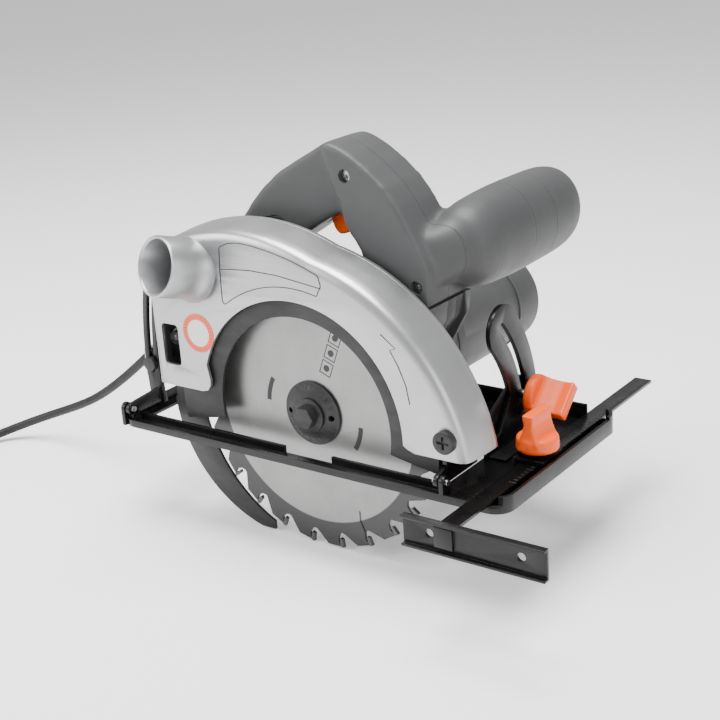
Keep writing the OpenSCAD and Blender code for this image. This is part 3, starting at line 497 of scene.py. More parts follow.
# %% Cord route and coil
CORD_D = 6.5
CORD = [
    (-80, 42, 73.4), (-90, 42, 67.7), (-100, 42, 61.9), (-112, 42, 54.6), (-124, 42, 46.2), (-136, 42, 36.8),
    (-148, 42, 26.8), (-160, 42, 16.5), (-172, 42, 6), (-184, 42, -4.2), (-196, 42, -14), (-208, 42, -23.3),
    (-221, 42, -32.8), (-234, 42, -41.6), (-247, 42, -49.4), (-261, 42, -56.4), (-275, 41.5, -62.4),
    (-290, 40, -68.4), (-304, 37, -73.8), (-317, 32, -79), (-328, 24.5, -83.4), (-336.5, 14, -86.8),
    (-341.8, 2, -88.6), (-344.2, -10, -89.2), (-344.75, -21, -89.2),
]
COIL_X, COIL_Y, COIL_Z = -385, -32, -89.25
INNER, OUTER = 33.75, 40.25
# Angle turned, radius and layer at each change of track
TRACKS = [
    (0, OUTER, 0), (300, OUTER, 0), (360, INNER, 0), (660, INNER, 0), (720, INNER, 1), (1020, INNER, 1),
    (1080, OUTER, 1), (1380, OUTER, 1), (1440, OUTER, 2), (1670, OUTER, 2), (1730, OUTER + CORD_D, 1.8),
    (1800, OUTER + CORD_D, 1.1), (1900, OUTER + CORD_D, 0.2), (1980, OUTER + CORD_D, 0.5),
]
TAIL = [(-431.4, -24, -85.4), (-430.2, -16, -84.3), (-428.2, -9, -83.3), (-426.2, -2, -82.6),
        (-425.25, 5, -82.5), (-425.25, 9, -82.5)]


def coil_points(step=15):
    """Points along the wound part, clockwise from above."""
    points = []
    for (a0, r0, n0), (a1, r1, n1) in zip(TRACKS, TRACKS[1:]):
        count = max(1, round((a1 - a0) / step))
        for index in range(count):
            t = index / count
            ease = t * t * (3 - 2 * t)
            a = -math.radians(a0 + (a1 - a0) * t)
            radius = r0 + (r1 - r0) * ease
            height = COIL_Z + CORD_D * (n0 + (n1 - n0) * ease)
            points.append((COIL_X + radius * math.cos(a), COIL_Y + radius * math.sin(a), height))
    return points


def make_cord():
    curve = bpy.data.curves.new("cord_line", "CURVE")
    curve.dimensions = "3D"
    curve.bevel_depth = CORD_D / 2 * MM
    curve.bevel_resolution = 3
    curve.resolution_u = 3
    curve.use_fill_caps = True
    spline = curve.splines.new("NURBS")
    route = CORD + coil_points() + TAIL
    spline.points.add(len(route) - 1)
    for target, point in zip(spline.points, route):
        target.co = (*at(*point), 1)
    spline.order_u = 4
    spline.use_endpoint_u = True
    curve.materials.append(FINISH["rubber"])
    piece = link(curve, "cord_line")
    graph = bpy.context.evaluated_depsgraph_get()
    bare = curve.copy()
    bare.bevel_depth = 0
    probe = link(bare, "cord_probe")
    graph.update()
    mesh = bpy.data.meshes.new_from_object(probe.evaluated_get(bpy.context.evaluated_depsgraph_get()))
    points = [vertex.co for vertex in mesh.vertices]
    length = sum((points[a] - points[b]).length for a, b in (edge.vertices for edge in mesh.edges))
    bpy.data.objects.remove(probe)
    return piece, length


cord, cord_length = make_cord()
print("cord is", round(cord_length, 3), "m long")

# %% [markdown]
# The sleeve at the handle bends with the cord, so it is moulded with ribs and gaps that get finer towards its
# thin end. It is turned from one profile. The plug and the tie keep their CAD shapes with soft edges.

# %% Strain relief, tie and plug
def ribbed_sleeve():
    profile = [(3.4, 0), (5.4, 0)]
    for rib in range(6):
        start = 2 + rib * 4
        outer = 5.3 - 0.17 * rib
        profile += [(outer, start), (outer, start + 2.4), (outer - 0.9, start + 2.7), (outer - 0.9, start + 3.7)]
    profile += [(4.1, 26), (3.4, 26)]
    return lathe("ribbed_sleeve", profile, (-82, 42, 72.25), (-0.8660254, 0, -0.5), "rubber", 36, closed=True)


sleeve = own(ribbed_sleeve(), "saw_body", "cord_rubber", "strain_relief")
plug_shape = soften("plug", "saw_body", "cord_rubber", "rubber", 1.6, 3)
tie_shape = soften("cord_tie", "saw_body", "cord_rubber", "dark", 0.4, 2)
own(cord, "saw_body", "cord_rubber", "cord", "cord_coil")
print("cord pieces made")

# %% [markdown]
# ## Floor and light
# A wide pale floor lies under the lowest tooth. Three soft panels light the saw: a large one above, one from the
# left that draws the long highlight along the guard's rim, and a weak one from the right.

# %% Floor and lights
def add_floor():
    mesh = bpy.data.meshes.new("floor")
    reach = 6
    height = at(0, 0, -92.6).z
    corners = [(-reach, -reach, height), (reach, -reach, height), (reach, reach, height), (-reach, reach, height)]
    mesh.from_pydata(corners, [], [(0, 1, 2, 3)])
    material, tree, surface = shader("floor", (0.93, 0.93, 0.93), 0.7, spec=0.2)
    surface.inputs["Emission Color"].default_value = (1, 1, 1, 1)
    surface.inputs["Emission Strength"].default_value = 0.25
    mesh.materials.append(material)
    floor = link(mesh, "floor")


def add_light(name, place_mm, power, size, aim=(0, 40, 20)):
    data = bpy.data.lights.new(name, "AREA")
    data.energy = power
    data.size = size
    light = bpy.data.objects.new(name, data)
    light.location = at(*place_mm)
    light.rotation_euler = (at(*aim) - light.location).to_track_quat("-Z", "Y").to_euler()
    bpy.context.scene.collection.objects.link(light)


def add_world():
    world = bpy.data.worlds.new("studio")
    world.use_nodes = True
    world.node_tree.nodes["Background"].inputs["Color"].default_value = (1, 1, 1, 1)
    world.node_tree.nodes["Background"].inputs["Strength"].default_value = 0.55
    bpy.context.scene.world = world


add_floor()
add_light("top_panel", (-100, 0, 1300), 46, 0.9)
add_light("left_panel", (-1000, -900, 700), 16, 0.8)
add_light("right_panel", (1300, -300, 500), 7, 0.9)
add_world()
print("floor and lights set")

# %% [markdown]
# ## Nodes that keep their CAD shape
# Gears, windings and bearings sit inside the housings, and their CAD shapes are already the real ones. They stay
# as they are and only get their finishes.

# %% Finishes on carried-over nodes
KEPT = {
    "bright": ["housing_screws", "riving_knife_screw", "motor_shaft", "spindle", "pinion", "spindle_gear",
               "front_motor_bearing", "rear_motor_bearing", "spindle_bearing", "lower_guard_spring",
               "guard_retaining_ring", "inner_flange", "bevel_pins", "handle_screws"],
    "copper": ["commutator", "stator"],
    "bronze": ["brush_holders", "spindle_bush"],
    "oxide": ["armature", "carbon_brushes"],
    "dark": ["fan", "switch_body"],
    "blade": ["blade"],
    "carbide": ["carbide_tips"],
}
for finish_name, names in KEPT.items():
    for name in names:
        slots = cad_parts[name].material_slots
        for index in range(len(slots)):
            slots[index].material = FINISH[finish_name]
print(sum(len(names) for names in KEPT.values()), "CAD nodes keep their shape")

# %% [markdown]
# ## Pressed, cast and turned parts
# The base, its brackets, the lower guard and the fence are bent sheet steel with deburred edges. Each is a copy
# of its CAD node with a small bevel as wide as the real edge's rounding.

# %% Soft-edged copies
SOFTENED = [
    ("base_plate", "base", "black_steel", "paint", 0.7, 3),
    ("bevel_quadrant", "base", "black_steel", "paint", 0.6, 2),
    ("front_bracket", "tilt_frame", "black_steel", "paint", 0.7, 3),
    ("depth_arc", "tilt_frame", "black_steel", "paint", 0.5, 2),
    ("bevel_bolt", "tilt_frame", "bright_steel", "bright", 0.3, 2),
    ("depth_pivot_screw", "saw_body", "dark_steel", "flange", 0.3, 2),
    ("riving_knife", "saw_body", "knife_steel", "oxide", 0.3, 2),
    ("guard_back_plate", "saw_body", "silver_cast", "silver", 0.5, 2),
    ("gear_housing", "saw_body", "grey_plastic", "grey", 1.2, 3),
    ("gear_case_cover", "saw_body", "grey_plastic", "grey", 0.5, 2),
    ("motor_housing", "saw_body", "grey_plastic", "grey", 0.6, 2),
    ("motor_end_cap", "saw_body", "grey_plastic", "grey", 0.9, 3),
    ("lower_guard", "lower_guard", "dark_steel", "oxide", 0.4, 2),
    ("lower_guard_lever", "lower_guard", "dark_plastic", "dark", 0.8, 3),
    ("outer_flange", "spindle_set", "dark_steel", "flange", 0.6, 3),
    ("blade_bolt", "spindle_set", "dark_steel", "flange", 0.5, 3),
    ("lock_off_button", "lock_off_button", "dark_plastic", "dark", 0.8, 3),
    ("spindle_lock", "spindle_lock", "dark_plastic", "dark", 0.8, 3),
    ("depth_lever", "depth_lever", "dark_plastic", "dark", 0.9, 3),
    ("rip_fence", "rip_fence", "black_steel", "paint", 0.4, 2),
]
for row in SOFTENED:
    soften(*row)
print(len(SOFTENED), "nodes softened")

# %% [markdown]
# ## The guard casting
# The upper guard is one aluminium casting: a flat face, a rim that leans out a little for draft, and a generous
# radius between them. It is lofted from rings of the same outline drawn in by different amounts, its face is
# filled round the blade's arch and the window, and the skin is then given the casting's wall thickness.

# %% Guard outline
GUARD_ARCS = [(-14, -30, 139.5), (-42, -28.5, 146.7)]
GUARD_REAR, GUARD_LOW_REAR, GUARD_LOW_FRONT = -121, 6, -5
ARCH_R = 77.5


def guard_reach(x, inset):
    """Height of the guard's top edge above x, with the outline drawn in by inset."""
    heights = [cz + math.sqrt(max((r - inset) ** 2 - (x - cx) ** 2, 0)) for cx, cz, r in GUARD_ARCS]
    return max(heights)


def guard_front(inset):
    """Where the drawn-in outline meets the lower front edge."""
    cx, cz, r = GUARD_ARCS[0]
    drop = GUARD_LOW_FRONT - cz
    return cx + math.sqrt((r - inset) ** 2 - drop ** 2)


def guard_ring(inset, steps=96):
    """The guard's open outline from the lower front corner over the top to the lower rear corner."""
    front = guard_front(inset)
    rear = GUARD_REAR + inset
    ring = [(front, GUARD_LOW_FRONT)]
    for step in range(1, steps):
        t = step / steps
        turn = math.pi * t
        x = rear + (front - rear) * (1 + math.cos(turn)) / 2
        ring.append((x, guard_reach(x, inset)))
    ring.append((rear, guard_reach(rear, inset) - 6))
    ring += [(rear, GUARD_LOW_REAR + 90 * (1 - step / 4)) for step in range(1, 5)]
    return ring


# The rim's section: how far it is drawn in at each Y, from the face's edge to the open back
RIM = [(9, -16), (6.4, -15.6), (4.2, -14.6), (2.7, -13), (1.8, -10.5), (1.3, -6), (0.7, 3), (0, 12.9)]


def guard_face_ring():
    """The face's outline, closed along the lower edge and round the blade's arch."""
    ring = guard_ring(RIM[0][0])
    arch_front = math.degrees(math.asin((GUARD_LOW_FRONT + 1) / ARCH_R))
    low = [(-112, GUARD_LOW_REAR), (-79, GUARD_LOW_REAR), (-74.5, 7.2), (-72, 10.6), (-71.5, 15), (-73.5, 25)]
    sweep = arc(ARCH_R, 161, arch_front + 2, 60)
    foot = [(80.3, -3.2), (85.5, GUARD_LOW_FRONT)]
    return ring[:-1] + [(GUARD_REAR + RIM[0][0], GUARD_LOW_REAR)] + low[1:] + sweep[1:] + foot


def window_ring():
    return rounded([(-109.8, 20.6), (-95.4, 20.6), (-95.4, 48.7), (-109.8, 48.7)], 3.2)


# %% Guard skin
def guard_skin():
    bm = bmesh.new()
    face = curve_mesh(flat_curve("guard_face", [guard_face_ring(), window_ring()]))
    bm.from_mesh(stand_up(face, RIM[0][1]))
    rows = []
    for inset, y in RIM:
        rows.append([bm.verts.new(at(x, y, z)) for x, z in guard_ring(inset)])
    for lower, upper in zip(rows, rows[1:]):
        for index in range(len(lower) - 1):
            bm.faces.new((lower[index], lower[index + 1], upper[index + 1], upper[index]))
    bmesh.ops.remove_doubles(bm, verts=bm.verts, dist=2e-5)
    bmesh.ops.recalc_face_normals(bm, faces=bm.faces)
    mesh = bpy.data.meshes.new("guard_casting")
    bm.to_mesh(mesh)
    bm.free()
    outward = sum((face.normal.y * face.area for face in mesh.polygons if abs(face.normal.y) > 0.9), 0.0)
    if outward > 0:
        mesh.flip_normals()
    mesh.materials.append(FINISH["silver"])
    return link(mesh, "guard_casting")


def cut(piece, tool):
    """Takes the tool's solid out of the piece."""
    boolean = piece.modifiers.new("cut", "BOOLEAN")
    boolean.operation = "DIFFERENCE"
    boolean.solver = "EXACT"
    boolean.object = tool
    bake(piece)
    bpy.data.objects.remove(tool)
    return piece


PORT_BASE = (-79, -16, 89)
PORT_AXIS = (-0.216237, -0.936625, 0.275637)
guard = guard_skin()
wall = guard.modifiers.new("wall", "SOLIDIFY")
wall.thickness = 2.2 * MM
wall.offset = -1
wall.use_even_offset = True
bake(guard)
cut(guard, lathe("port_cutter", [(0, -20), (17.6, -20), (17.6, 40), (0, 40)], PORT_BASE, PORT_AXIS, "silver"))
cut(guard, lathe("screw_cutter", [(0, -4), (6.5, -4), (6.5, 4), (0, 4)], (108, -16, 7.5), (0, 1, 0), "silver"))
add_bevel(guard, 0.5, 2, 50)
bake(guard)
own(guard, "saw_body", "silver_cast", "upper_guard")
print("guard casting:", len(guard.data.polygons), "faces")

# %% [markdown]
# ## Dust port
# The sawdust leaves through a short slanted spout. It is part of the casting, so it swells into the face with a
# small fillet, and its mouth has a rounded lip. One profile turned about the slanted axis gives all of that.

# %% Dust port
PORT = [
    (17.2, 25.2), (17.6, 25.9), (18.4, 26.2), (19.1, 25.9), (19.5, 25), (19.5, 9), (19.8, 5), (20.6, 1.5),
    (21.6, -1.5), (21.6, -5), (19.4, -6), (19.4, -20), (17.2, -20),
]
port = lathe("dust_spout", PORT, PORT_BASE, PORT_AXIS, "silver", 96, 40, closed=True)
print("spout has", len(port.data.polygons), "faces")
own(port, "saw_body", "silver_cast", "dust_port")

# %% [markdown]
# ## Markings on the guard
# The face carries a thin frame for a name plate, a bent line that shows the direction and a round sticker. They
# are kept generic: lines and rings only, made as real strips a fraction of a millimetre proud of the paint.

# %% Panel frame, arrow and sticker
FACE_Y = -16
STRIP_R = 0.32
on_face = lambda ring: [(x, FACE_Y - 0.05, z) for x, z in ring]
frame_low = arc(86, 127, 75.5, 24)
FRAME = [(-52.3, 105.8), (-45, 109), (-36, 110), (-25.5, 109.2), (-12, 107), (2.3, 103.7), (13, 100.3),
         (23.3, 96.3), (25, 89.9), (22.3, 85.8), *frame_low[::-1], (-53.9, 70), (-53.6, 88)]
ARROW = [(84, 26), (82, 37), (77.5, 48), (72, 57.5), (76, 59), (66, 66.5)]
marks = join("face_lines", [
    line("panel_frame", on_face(rounded(FRAME, 1.5, 3)), STRIP_R, "ink", closed=True),
    line("panel_rule", on_face([(-53.6, 91.5), (-30, 93.4), (-8, 92.8), (24.6, 88.6)]), STRIP_R, "ink"),
    line("arrow", on_face(ARROW), STRIP_R, "ink"),
])
own(marks, "saw_body", "dark_plastic")
STICKER = (-77.5, FACE_Y, 46)
TOWARDS = (0, -1, 0)
red_ring = lathe("sticker_ring", [(9, 0.05), (9, 0.22), (13, 0.22), (13, 0.05)], STICKER, TOWARDS, "sticker", 64)
pale_disc = lathe("sticker_disc", [(0, 0.18), (9.1, 0.18), (9.1, 0.02)], STICKER, TOWARDS, "paper", 64)
ring_ticks = []
for turn in range(0, 360, 12):
    a = math.radians(turn)
    inner, outer = ([STICKER[0] + reach * math.cos(a), FACE_Y - 0.2, STICKER[2] + reach * math.sin(a)]
                    for reach in (10.6, 11.6))
    ring_ticks.append(line("tick", [inner, outer], 0.16, "ink"))
ring_ticks = join("sticker_ticks", ring_ticks)
own(red_ring, "saw_body", "orange_plastic")
own(pale_disc, "saw_body", "silver_cast")
own(ring_ticks, "saw_body", "dark_plastic")
print("markings made")

# %% [markdown]
# ## Handle and front grip
# The handle is two moulded shells that meet on a vertical plane, and its front leg flows into a barrel grip. Such
# a soft form is hard to draw as surfaces, so rough solids are piled up, fused by a voxel remesh and smoothed
# until the edges have the roundness of a moulding. Flat cuts then divide it at the real parting planes.

# %% Rough solids for the handle
HANDLE = [
    (-86, 62), (-86, 84), (-80, 97), (-71, 111), (-62, 122), (-52, 132.5), (-38, 144), (-22, 153), (-8, 160.5),
    (0, 165), (6, 166.8), (13, 165.6), (24, 160.5), (36, 152.5), (48, 142.5), (57, 131), (64, 119), (72, 104),
    (76, 94), (76, 71), (-18, 71), (-24, 62),
]
LOOP = [
    (-52, 88), (-44, 96), (-33, 97), (-20, 105), (-11, 111), (0, 117.5), (10, 122.5), (14.5, 119.5), (16, 115.2),
    (21, 109.5), (26.5, 103.3), (29, 95), (29.5, 87), (26, 80), (18, 77), (-36, 77), (-47, 80),
]
FRONT_LEG = [
    (2, 165.5), (6, 166.8), (13, 165.6), (24, 160.5), (36, 152.5), (48, 142.5), (57, 131), (64, 119), (72, 104),
    (76, 94), (76, 71), (22, 71), (27, 80), (30, 88), (29.5, 96), (26.5, 104), (21.5, 110.5), (17, 117), (14, 130),
    (6, 150),
]
PALM_NEAR_Y, PALM_FAR_Y = 27.2, 56.8
NEAR_Y, MIDDLE_Y, FAR_Y = 20.4, 42, 63.6
SEAM_Y, BAND_Y, GRIP_END_Y = 100, 127, 175
GRIP = [
    (0, 42), (8, 42.5), (14, 44.6), (18.6, 48.5), (21.6, 55), (23.6, 66), (24.6, 84), (25, 100), (25, 114),
    (24.8, 128), (24.6, 142), (24, 154), (22.2, 164), (17.5, 171.5), (9, 175), (0, 175.6),
]
# The grip's section is taller than it is wide, and its middle lies a little below its axis
GRIP_TALL, GRIP_DROP = 1.17, 1.5
GRIP_AXIS = (80, 0, 103)


def slab(name, outline, holes, y0, y1):
    """A plain thick plate, the raw material of a remesh."""
    return sheet_outline(name, outline, holes, y0, y1, "grey")


def hull(name, points):
    mesh = bpy.data.meshes.new(name)
    bm = bmesh.new()
    for point in points:
        bm.verts.new(at(*point))
    result = bmesh.ops.convex_hull(bm, input=bm.verts)
    loose = [item for item in result["geom_interior"] if isinstance(item, bmesh.types.BMVert)]
    bmesh.ops.delete(bm, geom=loose, context="VERTS")
    bmesh.ops.recalc_face_normals(bm, faces=bm.faces)
    bm.to_mesh(mesh)
    bm.free()
    mesh.materials.append(FINISH["grey"])
    return link(mesh, name)


def circle_y(x, z, radius, y, steps=24):
    turns = [2 * math.pi * step / steps for step in range(steps)]
    return [(x + radius * math.cos(a), y, z + radius * math.sin(a)) for a in turns]


def fuse(name, pieces, voxel, rounds, finish):
    """Voxel-fuses overlapping solids and smooths the result."""
    whole = join(name, pieces)
    remesh = whole.modifiers.new("fuse", "REMESH")
    remesh.mode = "VOXEL"
    remesh.voxel_size = voxel * MM
    relax = whole.modifiers.new("relax", "SMOOTH")
    relax.factor = 0.5
    relax.iterations = rounds
    bake(whole)
    whole.data.materials.clear()
    whole.data.materials.append(FINISH[finish])
    return whole


neck_points = []
for y, x, radius, z in [(30, 66, 9, 104), (30, 70, 8, 88), (46, 77, 17, 103), (60, 79, 21.5, 103)]:
    neck_points += circle_y(x, z, radius, y)
barrel = lathe("grip", GRIP, GRIP_AXIS, (0, 1, 0), "grey", 64)
grip_height = at(*GRIP_AXIS).z
for vertex in barrel.data.vertices:
    vertex.co.z = grip_height + (vertex.co.z - grip_height) * GRIP_TALL - GRIP_DROP * MM
handle_form = fuse("handle_form", [
    slab("palm_slab", HANDLE, [LOOP], PALM_NEAR_Y, PALM_FAR_Y),
    slab("front_leg", FRONT_LEG, [], NEAR_Y, FAR_Y),
    hull("neck", neck_points),
    barrel,
], 1.6, 24, "grey")
print("handle form:", len(handle_form.data.polygons), "faces")


# %% Divide the handle at its parting planes
def section(source, name, y0, y1):
    """The part of a solid between two planes across Y, with closed ends."""
    bm = bmesh.new()
    bm.from_mesh(source.data)
    for y, side in ((y0, -1), (y1, 1)):
        if y is None:
            continue
        everything = bm.verts[:] + bm.edges[:] + bm.faces[:]
        cutting = bmesh.ops.bisect_plane(bm, geom=everything, plane_co=at(0, y, 0), plane_no=(0, side, 0),
                                         clear_outer=True)
        rim = [item for item in cutting["geom_cut"] if isinstance(item, bmesh.types.BMEdge)]
        bmesh.ops.triangle_fill(bm, use_beauty=True, use_dissolve=False, edges=rim)
    bmesh.ops.recalc_face_normals(bm, faces=bm.faces)
    mesh = bpy.data.meshes.new(name)
    bm.to_mesh(mesh)
    bm.free()
    mesh.materials.append(FINISH["grey"])
    piece = link(mesh, name)
    smooth(mesh, 50)
    return piece


def edge_seam(piece, width=0.45):
    add_bevel(piece, width, 2, 60)
    return bake(piece, 50)


GAP = 0.12
near_shell = section(handle_form, "near_shell", None, MIDDLE_Y - GAP)
far_shell = section(handle_form, "far_shell", MIDDLE_Y + GAP, FAR_Y - 0.6)
grip_base = section(handle_form, "grip_base", FAR_Y - 0.6, SEAM_Y - GAP)
grip_cap = join("grip_cap", [
    section(handle_form, "cap_ring", SEAM_Y + GAP, BAND_Y - GAP),
    section(handle_form, "cap_end", BAND_Y + GAP, None),
])
bpy.data.objects.remove(handle_form)
INSERT = [(-76, 86), (-60, 112), (-40, 117), (-30, 112), (-27, 103.5), (-38, 99), (-52, 95), (-60, 84), (-66, 81)]
for x, z in ((20, 147.5), (68, 84)):
    recess = lathe("recess", [(0, -4), (4.2, -4), (4.2, 5), (0, 5)], (x, 21, z), (0, 1, 0), "grey", 40)
    cut(near_shell, recess)
cut(near_shell, slab("insert_bed", rounded(INSERT, 4), [], 15, 30.2))
slot_points = [(x, y, z) for x in (-8.5, 13.6) for y in (35.4, 48.6) for z in (100, 133)]
cut(near_shell, hull("trigger_slot", slot_points))
cut(far_shell, hull("trigger_slot", slot_points))
for piece, target in ((near_shell, "handle_near_shell"), (far_shell, "handle_far_shell"),
                      (grip_base, "front_grip_base"), (grip_cap, "front_grip_cap")):
    edge_seam(piece)
    own(piece, "saw_body", "grey_plastic", target)
    print(target, len(piece.data.polygons), "faces")

# %% [markdown]
# The dark pad on the handle's rear leg and the trigger are separate pieces let into the shells. Both are flat
# shapes with rolled edges, and the pad has a raised rib where the palm's heel rests.

# %% Pad and trigger
# The pad is a dark flat shape with a raised rib, set in the recess cut into the near shell.
pad = sheet_outline("rear_pad", rounded([(x * 0.985 - 0.7, z * 0.985 + 1.4) for x, z in INSERT], 4), [],
                    28.2, 33, "dark", 1.0)
rib = sheet_outline("pad_rib", rounded([(-66, 85), (-47.5, 111), (-43, 109), (-61, 84)], 1.6), [], 25.6, 31,
                    "dark", 0.9)
own(join("dark_pad", [pad, rib]), "saw_body", "dark_plastic", "handle_insert")
TRIGGER = [(-3.5, 113.5), (-1.5, 108.5), (2, 105.8), (8.5, 107.5), (12.2, 112), (13.2, 118), (12, 126),
           (-1, 126), (-3.6, 118)]
finger_piece = sheet_outline("finger_trigger", rounded(TRIGGER, 2.5), [], 36, 48, "orange", 1.6)
own(finger_piece, "trigger", "orange_plastic", "trigger")
print("pad and trigger made")

# %% [markdown]
# ## Ridges on the gear and motor cases
# The cases meet in flanges that stand a little proud, and a hoop closes the motor barrel. They follow the cases'
# own outlines, so they are thin plates and rings just larger than what they run round.

# %% Case ridges
MOTOR_AXIS = (16, 21.5)
MOTOR_CENTRE = (MOTOR_AXIS[0], 0, MOTOR_AXIS[1])
HOOP = [(33.5, 170.6), (34.8, 171), (35, 172), (34.8, 173), (33.5, 173.4)]
STEP = [(33.5, 92), (34.6, 92.6), (34.6, 100), (33.5, 101)]


def case_outline(grow):
    """Convex outline of the gear case, grown by a little."""
    ring = arc(26.8 + grow, 0, 354, 59) + arc(34 + grow, 0, 354, 59, MOTOR_AXIS)
    ring += [(-17 - grow, 71 + grow), (76 + grow, 71 + grow), (76 + grow, 58)]
    order = geometry.convex_hull_2d([Vector(point) for point in ring])
    return [ring[index] for index in order]


ridges = join("case_ridges", [
    sheet_outline("flange_front", case_outline(0.9), [], 59.6, 62.8, "grey", 0.7),
    lathe("barrel_hoop", HOOP, MOTOR_CENTRE, (0, 1, 0), "grey", 96),
    lathe("barrel_step", STEP, MOTOR_CENTRE, (0, 1, 0), "grey", 96),
])
own(ridges, "saw_body", "grey_plastic")
print("ridges made")

# %% [markdown]
# ## Printed marks on the blade
# A blade's side carries its direction of turn. Two plain curved bars and three small frames are drawn as strips a
# fifth of a millimetre thick that turn with the blade.

# %% Blade marks
# The strips' two sides across Y, just proud of the plate
MARK_Y = (-1.06, -0.85)


def curved_bar(name, radius, width, start, stop):
    outer = arc(radius + width / 2, start, stop, 16)
    inner = arc(radius - width / 2, stop, start, 16)
    return sheet_outline(name, outer + inner, [], *MARK_Y, "ink")


def ring_frame(name, centre, half_w, half_h, turn):
    c, s = math.cos(math.radians(turn)), math.sin(math.radians(turn))
    corner = lambda u, v: (centre[0] + u * c - v * s, centre[1] + u * s + v * c)
    box = lambda w, h: [corner(u, v) for u, v in ((-w, -h), (w, -h), (w, h), (-w, h))]
    return sheet_outline(name, box(half_w, half_h), [box(half_w - 0.5, half_h - 0.5)], *MARK_Y, "ink")


bars = [curved_bar("bar", 36, 3.2, start, start + 26) for start in (-32, 150)]
for index in range(3):
    spot = (12.5 + 4.2 * index, 31.5 + 10.4 * index)
    bars.append(ring_frame("box", spot, 4.7, 4.3, 68))
    bars.append(sheet_outline("dot", arc(2.2, 0, 348, 24, spot), [], *MARK_Y, "ink"))
own(join("blade_marks", bars), "spindle_set", "dark_plastic")
print("blade marks made")

# %% [markdown]
# ## Wing knobs
# Two orange knobs clamp the bevel and the fence. Each is a round boss with one flat wing that narrows to a waist.
# Rough solids are fused and smoothed, as on the handle, but with a finer voxel.

# %% Wing knobs
def wing_form(name, origin, axis, across, base_r, base_h, wing_h):
    """A wing knob on an axis: base disc, and a wing that thins to a waist and ends in a flat tip."""
    up = Vector(axis)
    side = Vector(across).normalized()
    depth = up.cross(side)
    boss = [(0, 0.3), (base_r - 1.2, 0), (base_r, 1.2), (base_r - 0.6, base_h - 0.8), (base_r - 1.8, base_h),
            (0, base_h + 0.6)]
    pieces = [lathe("boss", boss, origin, axis, "orange", 48)]
    # Half width, half thickness and height of each level of the wing
    levels = [(0.9 * base_r, 7, base_h - 3), (0.86 * base_r, 4.4, base_h + 4), (0.84 * base_r, 3.2, wing_h - 7),
              (0.86 * base_r, 4, wing_h)]
    for lower, upper in zip(levels, levels[1:]):
        corners = []
        for width, thick, height in (lower, upper):
            for u, v in ((-width, -thick), (width, -thick), (width, thick), (-width, thick)):
                corners.append(tuple(Vector(origin) + side * u + depth * v + up * height))
        pieces.append(hull("wing", corners))
    return fuse(name, pieces, 0.8, 8, "orange")


def turned(axis_a, axis_b, degrees):
    a = math.radians(degrees)
    return tuple(math.cos(a) * p + math.sin(a) * q for p, q in zip(axis_a, axis_b))


# The bevel bolt sits in the quadrant's slot, on a radius about the bevel axis
BEVEL_AXIS_Y, BEVEL_AXIS_Z = -21, -16
SLOT_R, SLOT_TURN = 103.5, math.radians(10)
BOLT = (110, BEVEL_AXIS_Y + SLOT_R * math.cos(SLOT_TURN), BEVEL_AXIS_Z + SLOT_R * math.sin(SLOT_TURN))
# How far each knob is screwed round, in degrees
BEVEL_WING_TURN, FENCE_WING_TURN = 132, 88
bevel_across = turned((0, 0, -1), (0, 1, 0), BEVEL_WING_TURN)
bevel_wing = wing_form("bevel_wing", BOLT, (1, 0, 0), bevel_across, 13.9, 6.5, 26.5)
own(bevel_wing, "bevel_knob", "orange_plastic", "bevel_knob")
fence_across = turned((1, 0, 0), (0, 1, 0), FENCE_WING_TURN)
fence_wing = wing_form("fence_wing", (135, 42, -14), (0, 0, 1), fence_across, 13.4, 9, 24.5)
own(fence_wing, "fence_knob", "orange_plastic", "fence_knob")
print("knobs:", len(bevel_wing.data.polygons), len(fence_wing.data.polygons), "faces")

# %% [markdown]
# ## Scale on the fence bar
# The bar is stamped with evenly spaced lines, and every fifth is longer. A Geometry Nodes tree puts a small box on
# each point of a row and makes every fifth one longer by its index.

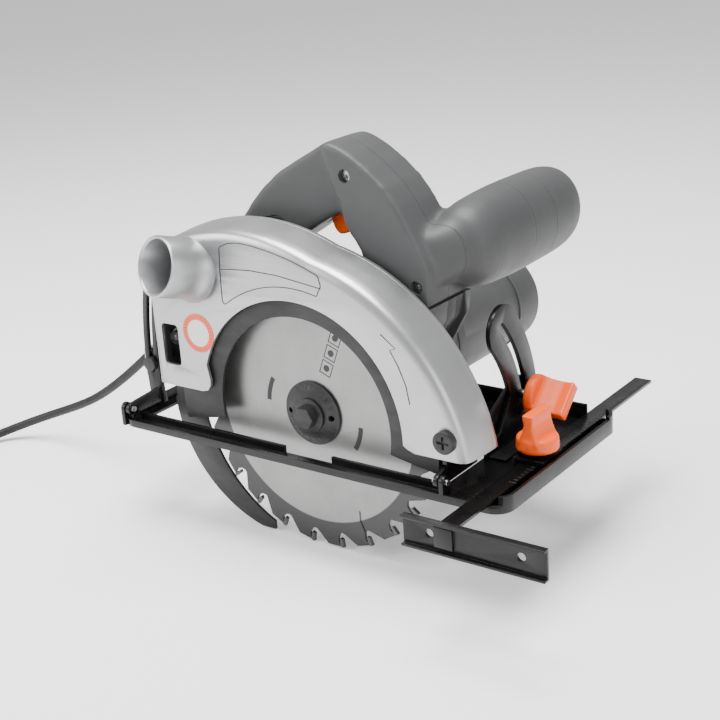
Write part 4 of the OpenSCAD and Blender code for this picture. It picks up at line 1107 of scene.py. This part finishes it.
# %% Fence scale
def scale_tree():
    tree = bpy.data.node_groups.new("fence_scale", "GeometryNodeTree")
    face = tree.interface
    face.new_socket("Geometry", in_out="OUTPUT", socket_type="NodeSocketGeometry")
    for label, kind in (("Count", "NodeSocketInt"), ("Pitch", "NodeSocketFloat"), ("Start", "NodeSocketVector"),
                        ("Tick", "NodeSocketVector"), ("Material", "NodeSocketMaterial")):
        face.new_socket(label, in_out="INPUT", socket_type=kind)
    nodes, links = tree.nodes, tree.links
    given = nodes.new("NodeGroupInput")
    result = nodes.new("NodeGroupOutput")
    step = nodes.new("ShaderNodeCombineXYZ")
    links.new(given.outputs["Pitch"], step.inputs["Y"])
    row = nodes.new("GeometryNodeMeshLine")
    row.mode = "OFFSET"
    links.new(given.outputs["Count"], row.inputs["Count"])
    links.new(given.outputs["Start"], row.inputs["Start Location"])
    links.new(step.outputs["Vector"], row.inputs["Offset"])
    box = nodes.new("GeometryNodeMeshCube")
    links.new(given.outputs["Tick"], box.inputs["Size"])
    number = nodes.new("GeometryNodeInputIndex")
    fifth = nodes.new("ShaderNodeMath")
    fifth.operation = "MODULO"
    fifth.inputs[1].default_value = 5
    links.new(number.outputs["Index"], fifth.inputs[0])
    longer = nodes.new("ShaderNodeMath")
    longer.operation = "COMPARE"
    longer.inputs[1].default_value = 0
    longer.inputs[2].default_value = 0.1
    links.new(fifth.outputs["Value"], longer.inputs[0])
    stretch = nodes.new("ShaderNodeMath")
    stretch.operation = "MULTIPLY_ADD"
    stretch.inputs[1].default_value = 0.8
    stretch.inputs[2].default_value = 1.0
    links.new(longer.outputs["Value"], stretch.inputs[0])
    size = nodes.new("ShaderNodeCombineXYZ")
    size.inputs["Y"].default_value = 1
    size.inputs["Z"].default_value = 1
    links.new(stretch.outputs["Value"], size.inputs["X"])
    spread = nodes.new("GeometryNodeInstanceOnPoints")
    links.new(row.outputs["Mesh"], spread.inputs["Points"])
    links.new(box.outputs["Mesh"], spread.inputs["Instance"])
    links.new(size.outputs["Vector"], spread.inputs["Scale"])
    real = nodes.new("GeometryNodeRealizeInstances")
    links.new(spread.outputs["Instances"], real.inputs["Geometry"])
    paint = nodes.new("GeometryNodeSetMaterial")
    links.new(real.outputs["Geometry"], paint.inputs["Geometry"])
    links.new(given.outputs["Material"], paint.inputs["Material"])
    links.new(paint.outputs["Geometry"], result.inputs["Geometry"])
    return tree


def grow(name, tree, **values):
    """Runs a Geometry Nodes tree with the given inputs and keeps the mesh."""
    holder = link(bpy.data.meshes.new(name), name)
    modifier = holder.modifiers.new("nodes", "NODES")
    modifier.node_group = tree
    for item in tree.interface.items_tree:
        if item.in_out == "INPUT" and item.name in values:
            modifier[item.identifier] = values[item.name]
    graph = bpy.context.evaluated_depsgraph_get()
    graph.update()
    mesh = bpy.data.meshes.new_from_object(holder.evaluated_get(graph))
    holder.modifiers.clear()
    holder.data = mesh
    return holder


TICKS, TICK_PITCH = 46, 4
TICK_SIZE = (2.6 * MM, 0.45 * MM, 0.12 * MM)
FIRST_TICK = at(139.4, 4, -19.97)
ticks = grow("scale_ticks", scale_tree(), Count=TICKS, Pitch=TICK_PITCH * MM, Start=FIRST_TICK, Tick=TICK_SIZE,
             Material=FINISH["scale"])
own(ticks, "rip_fence", "black_steel")
print("scale has", TICKS, "ticks,", len(ticks.data.polygons), "faces")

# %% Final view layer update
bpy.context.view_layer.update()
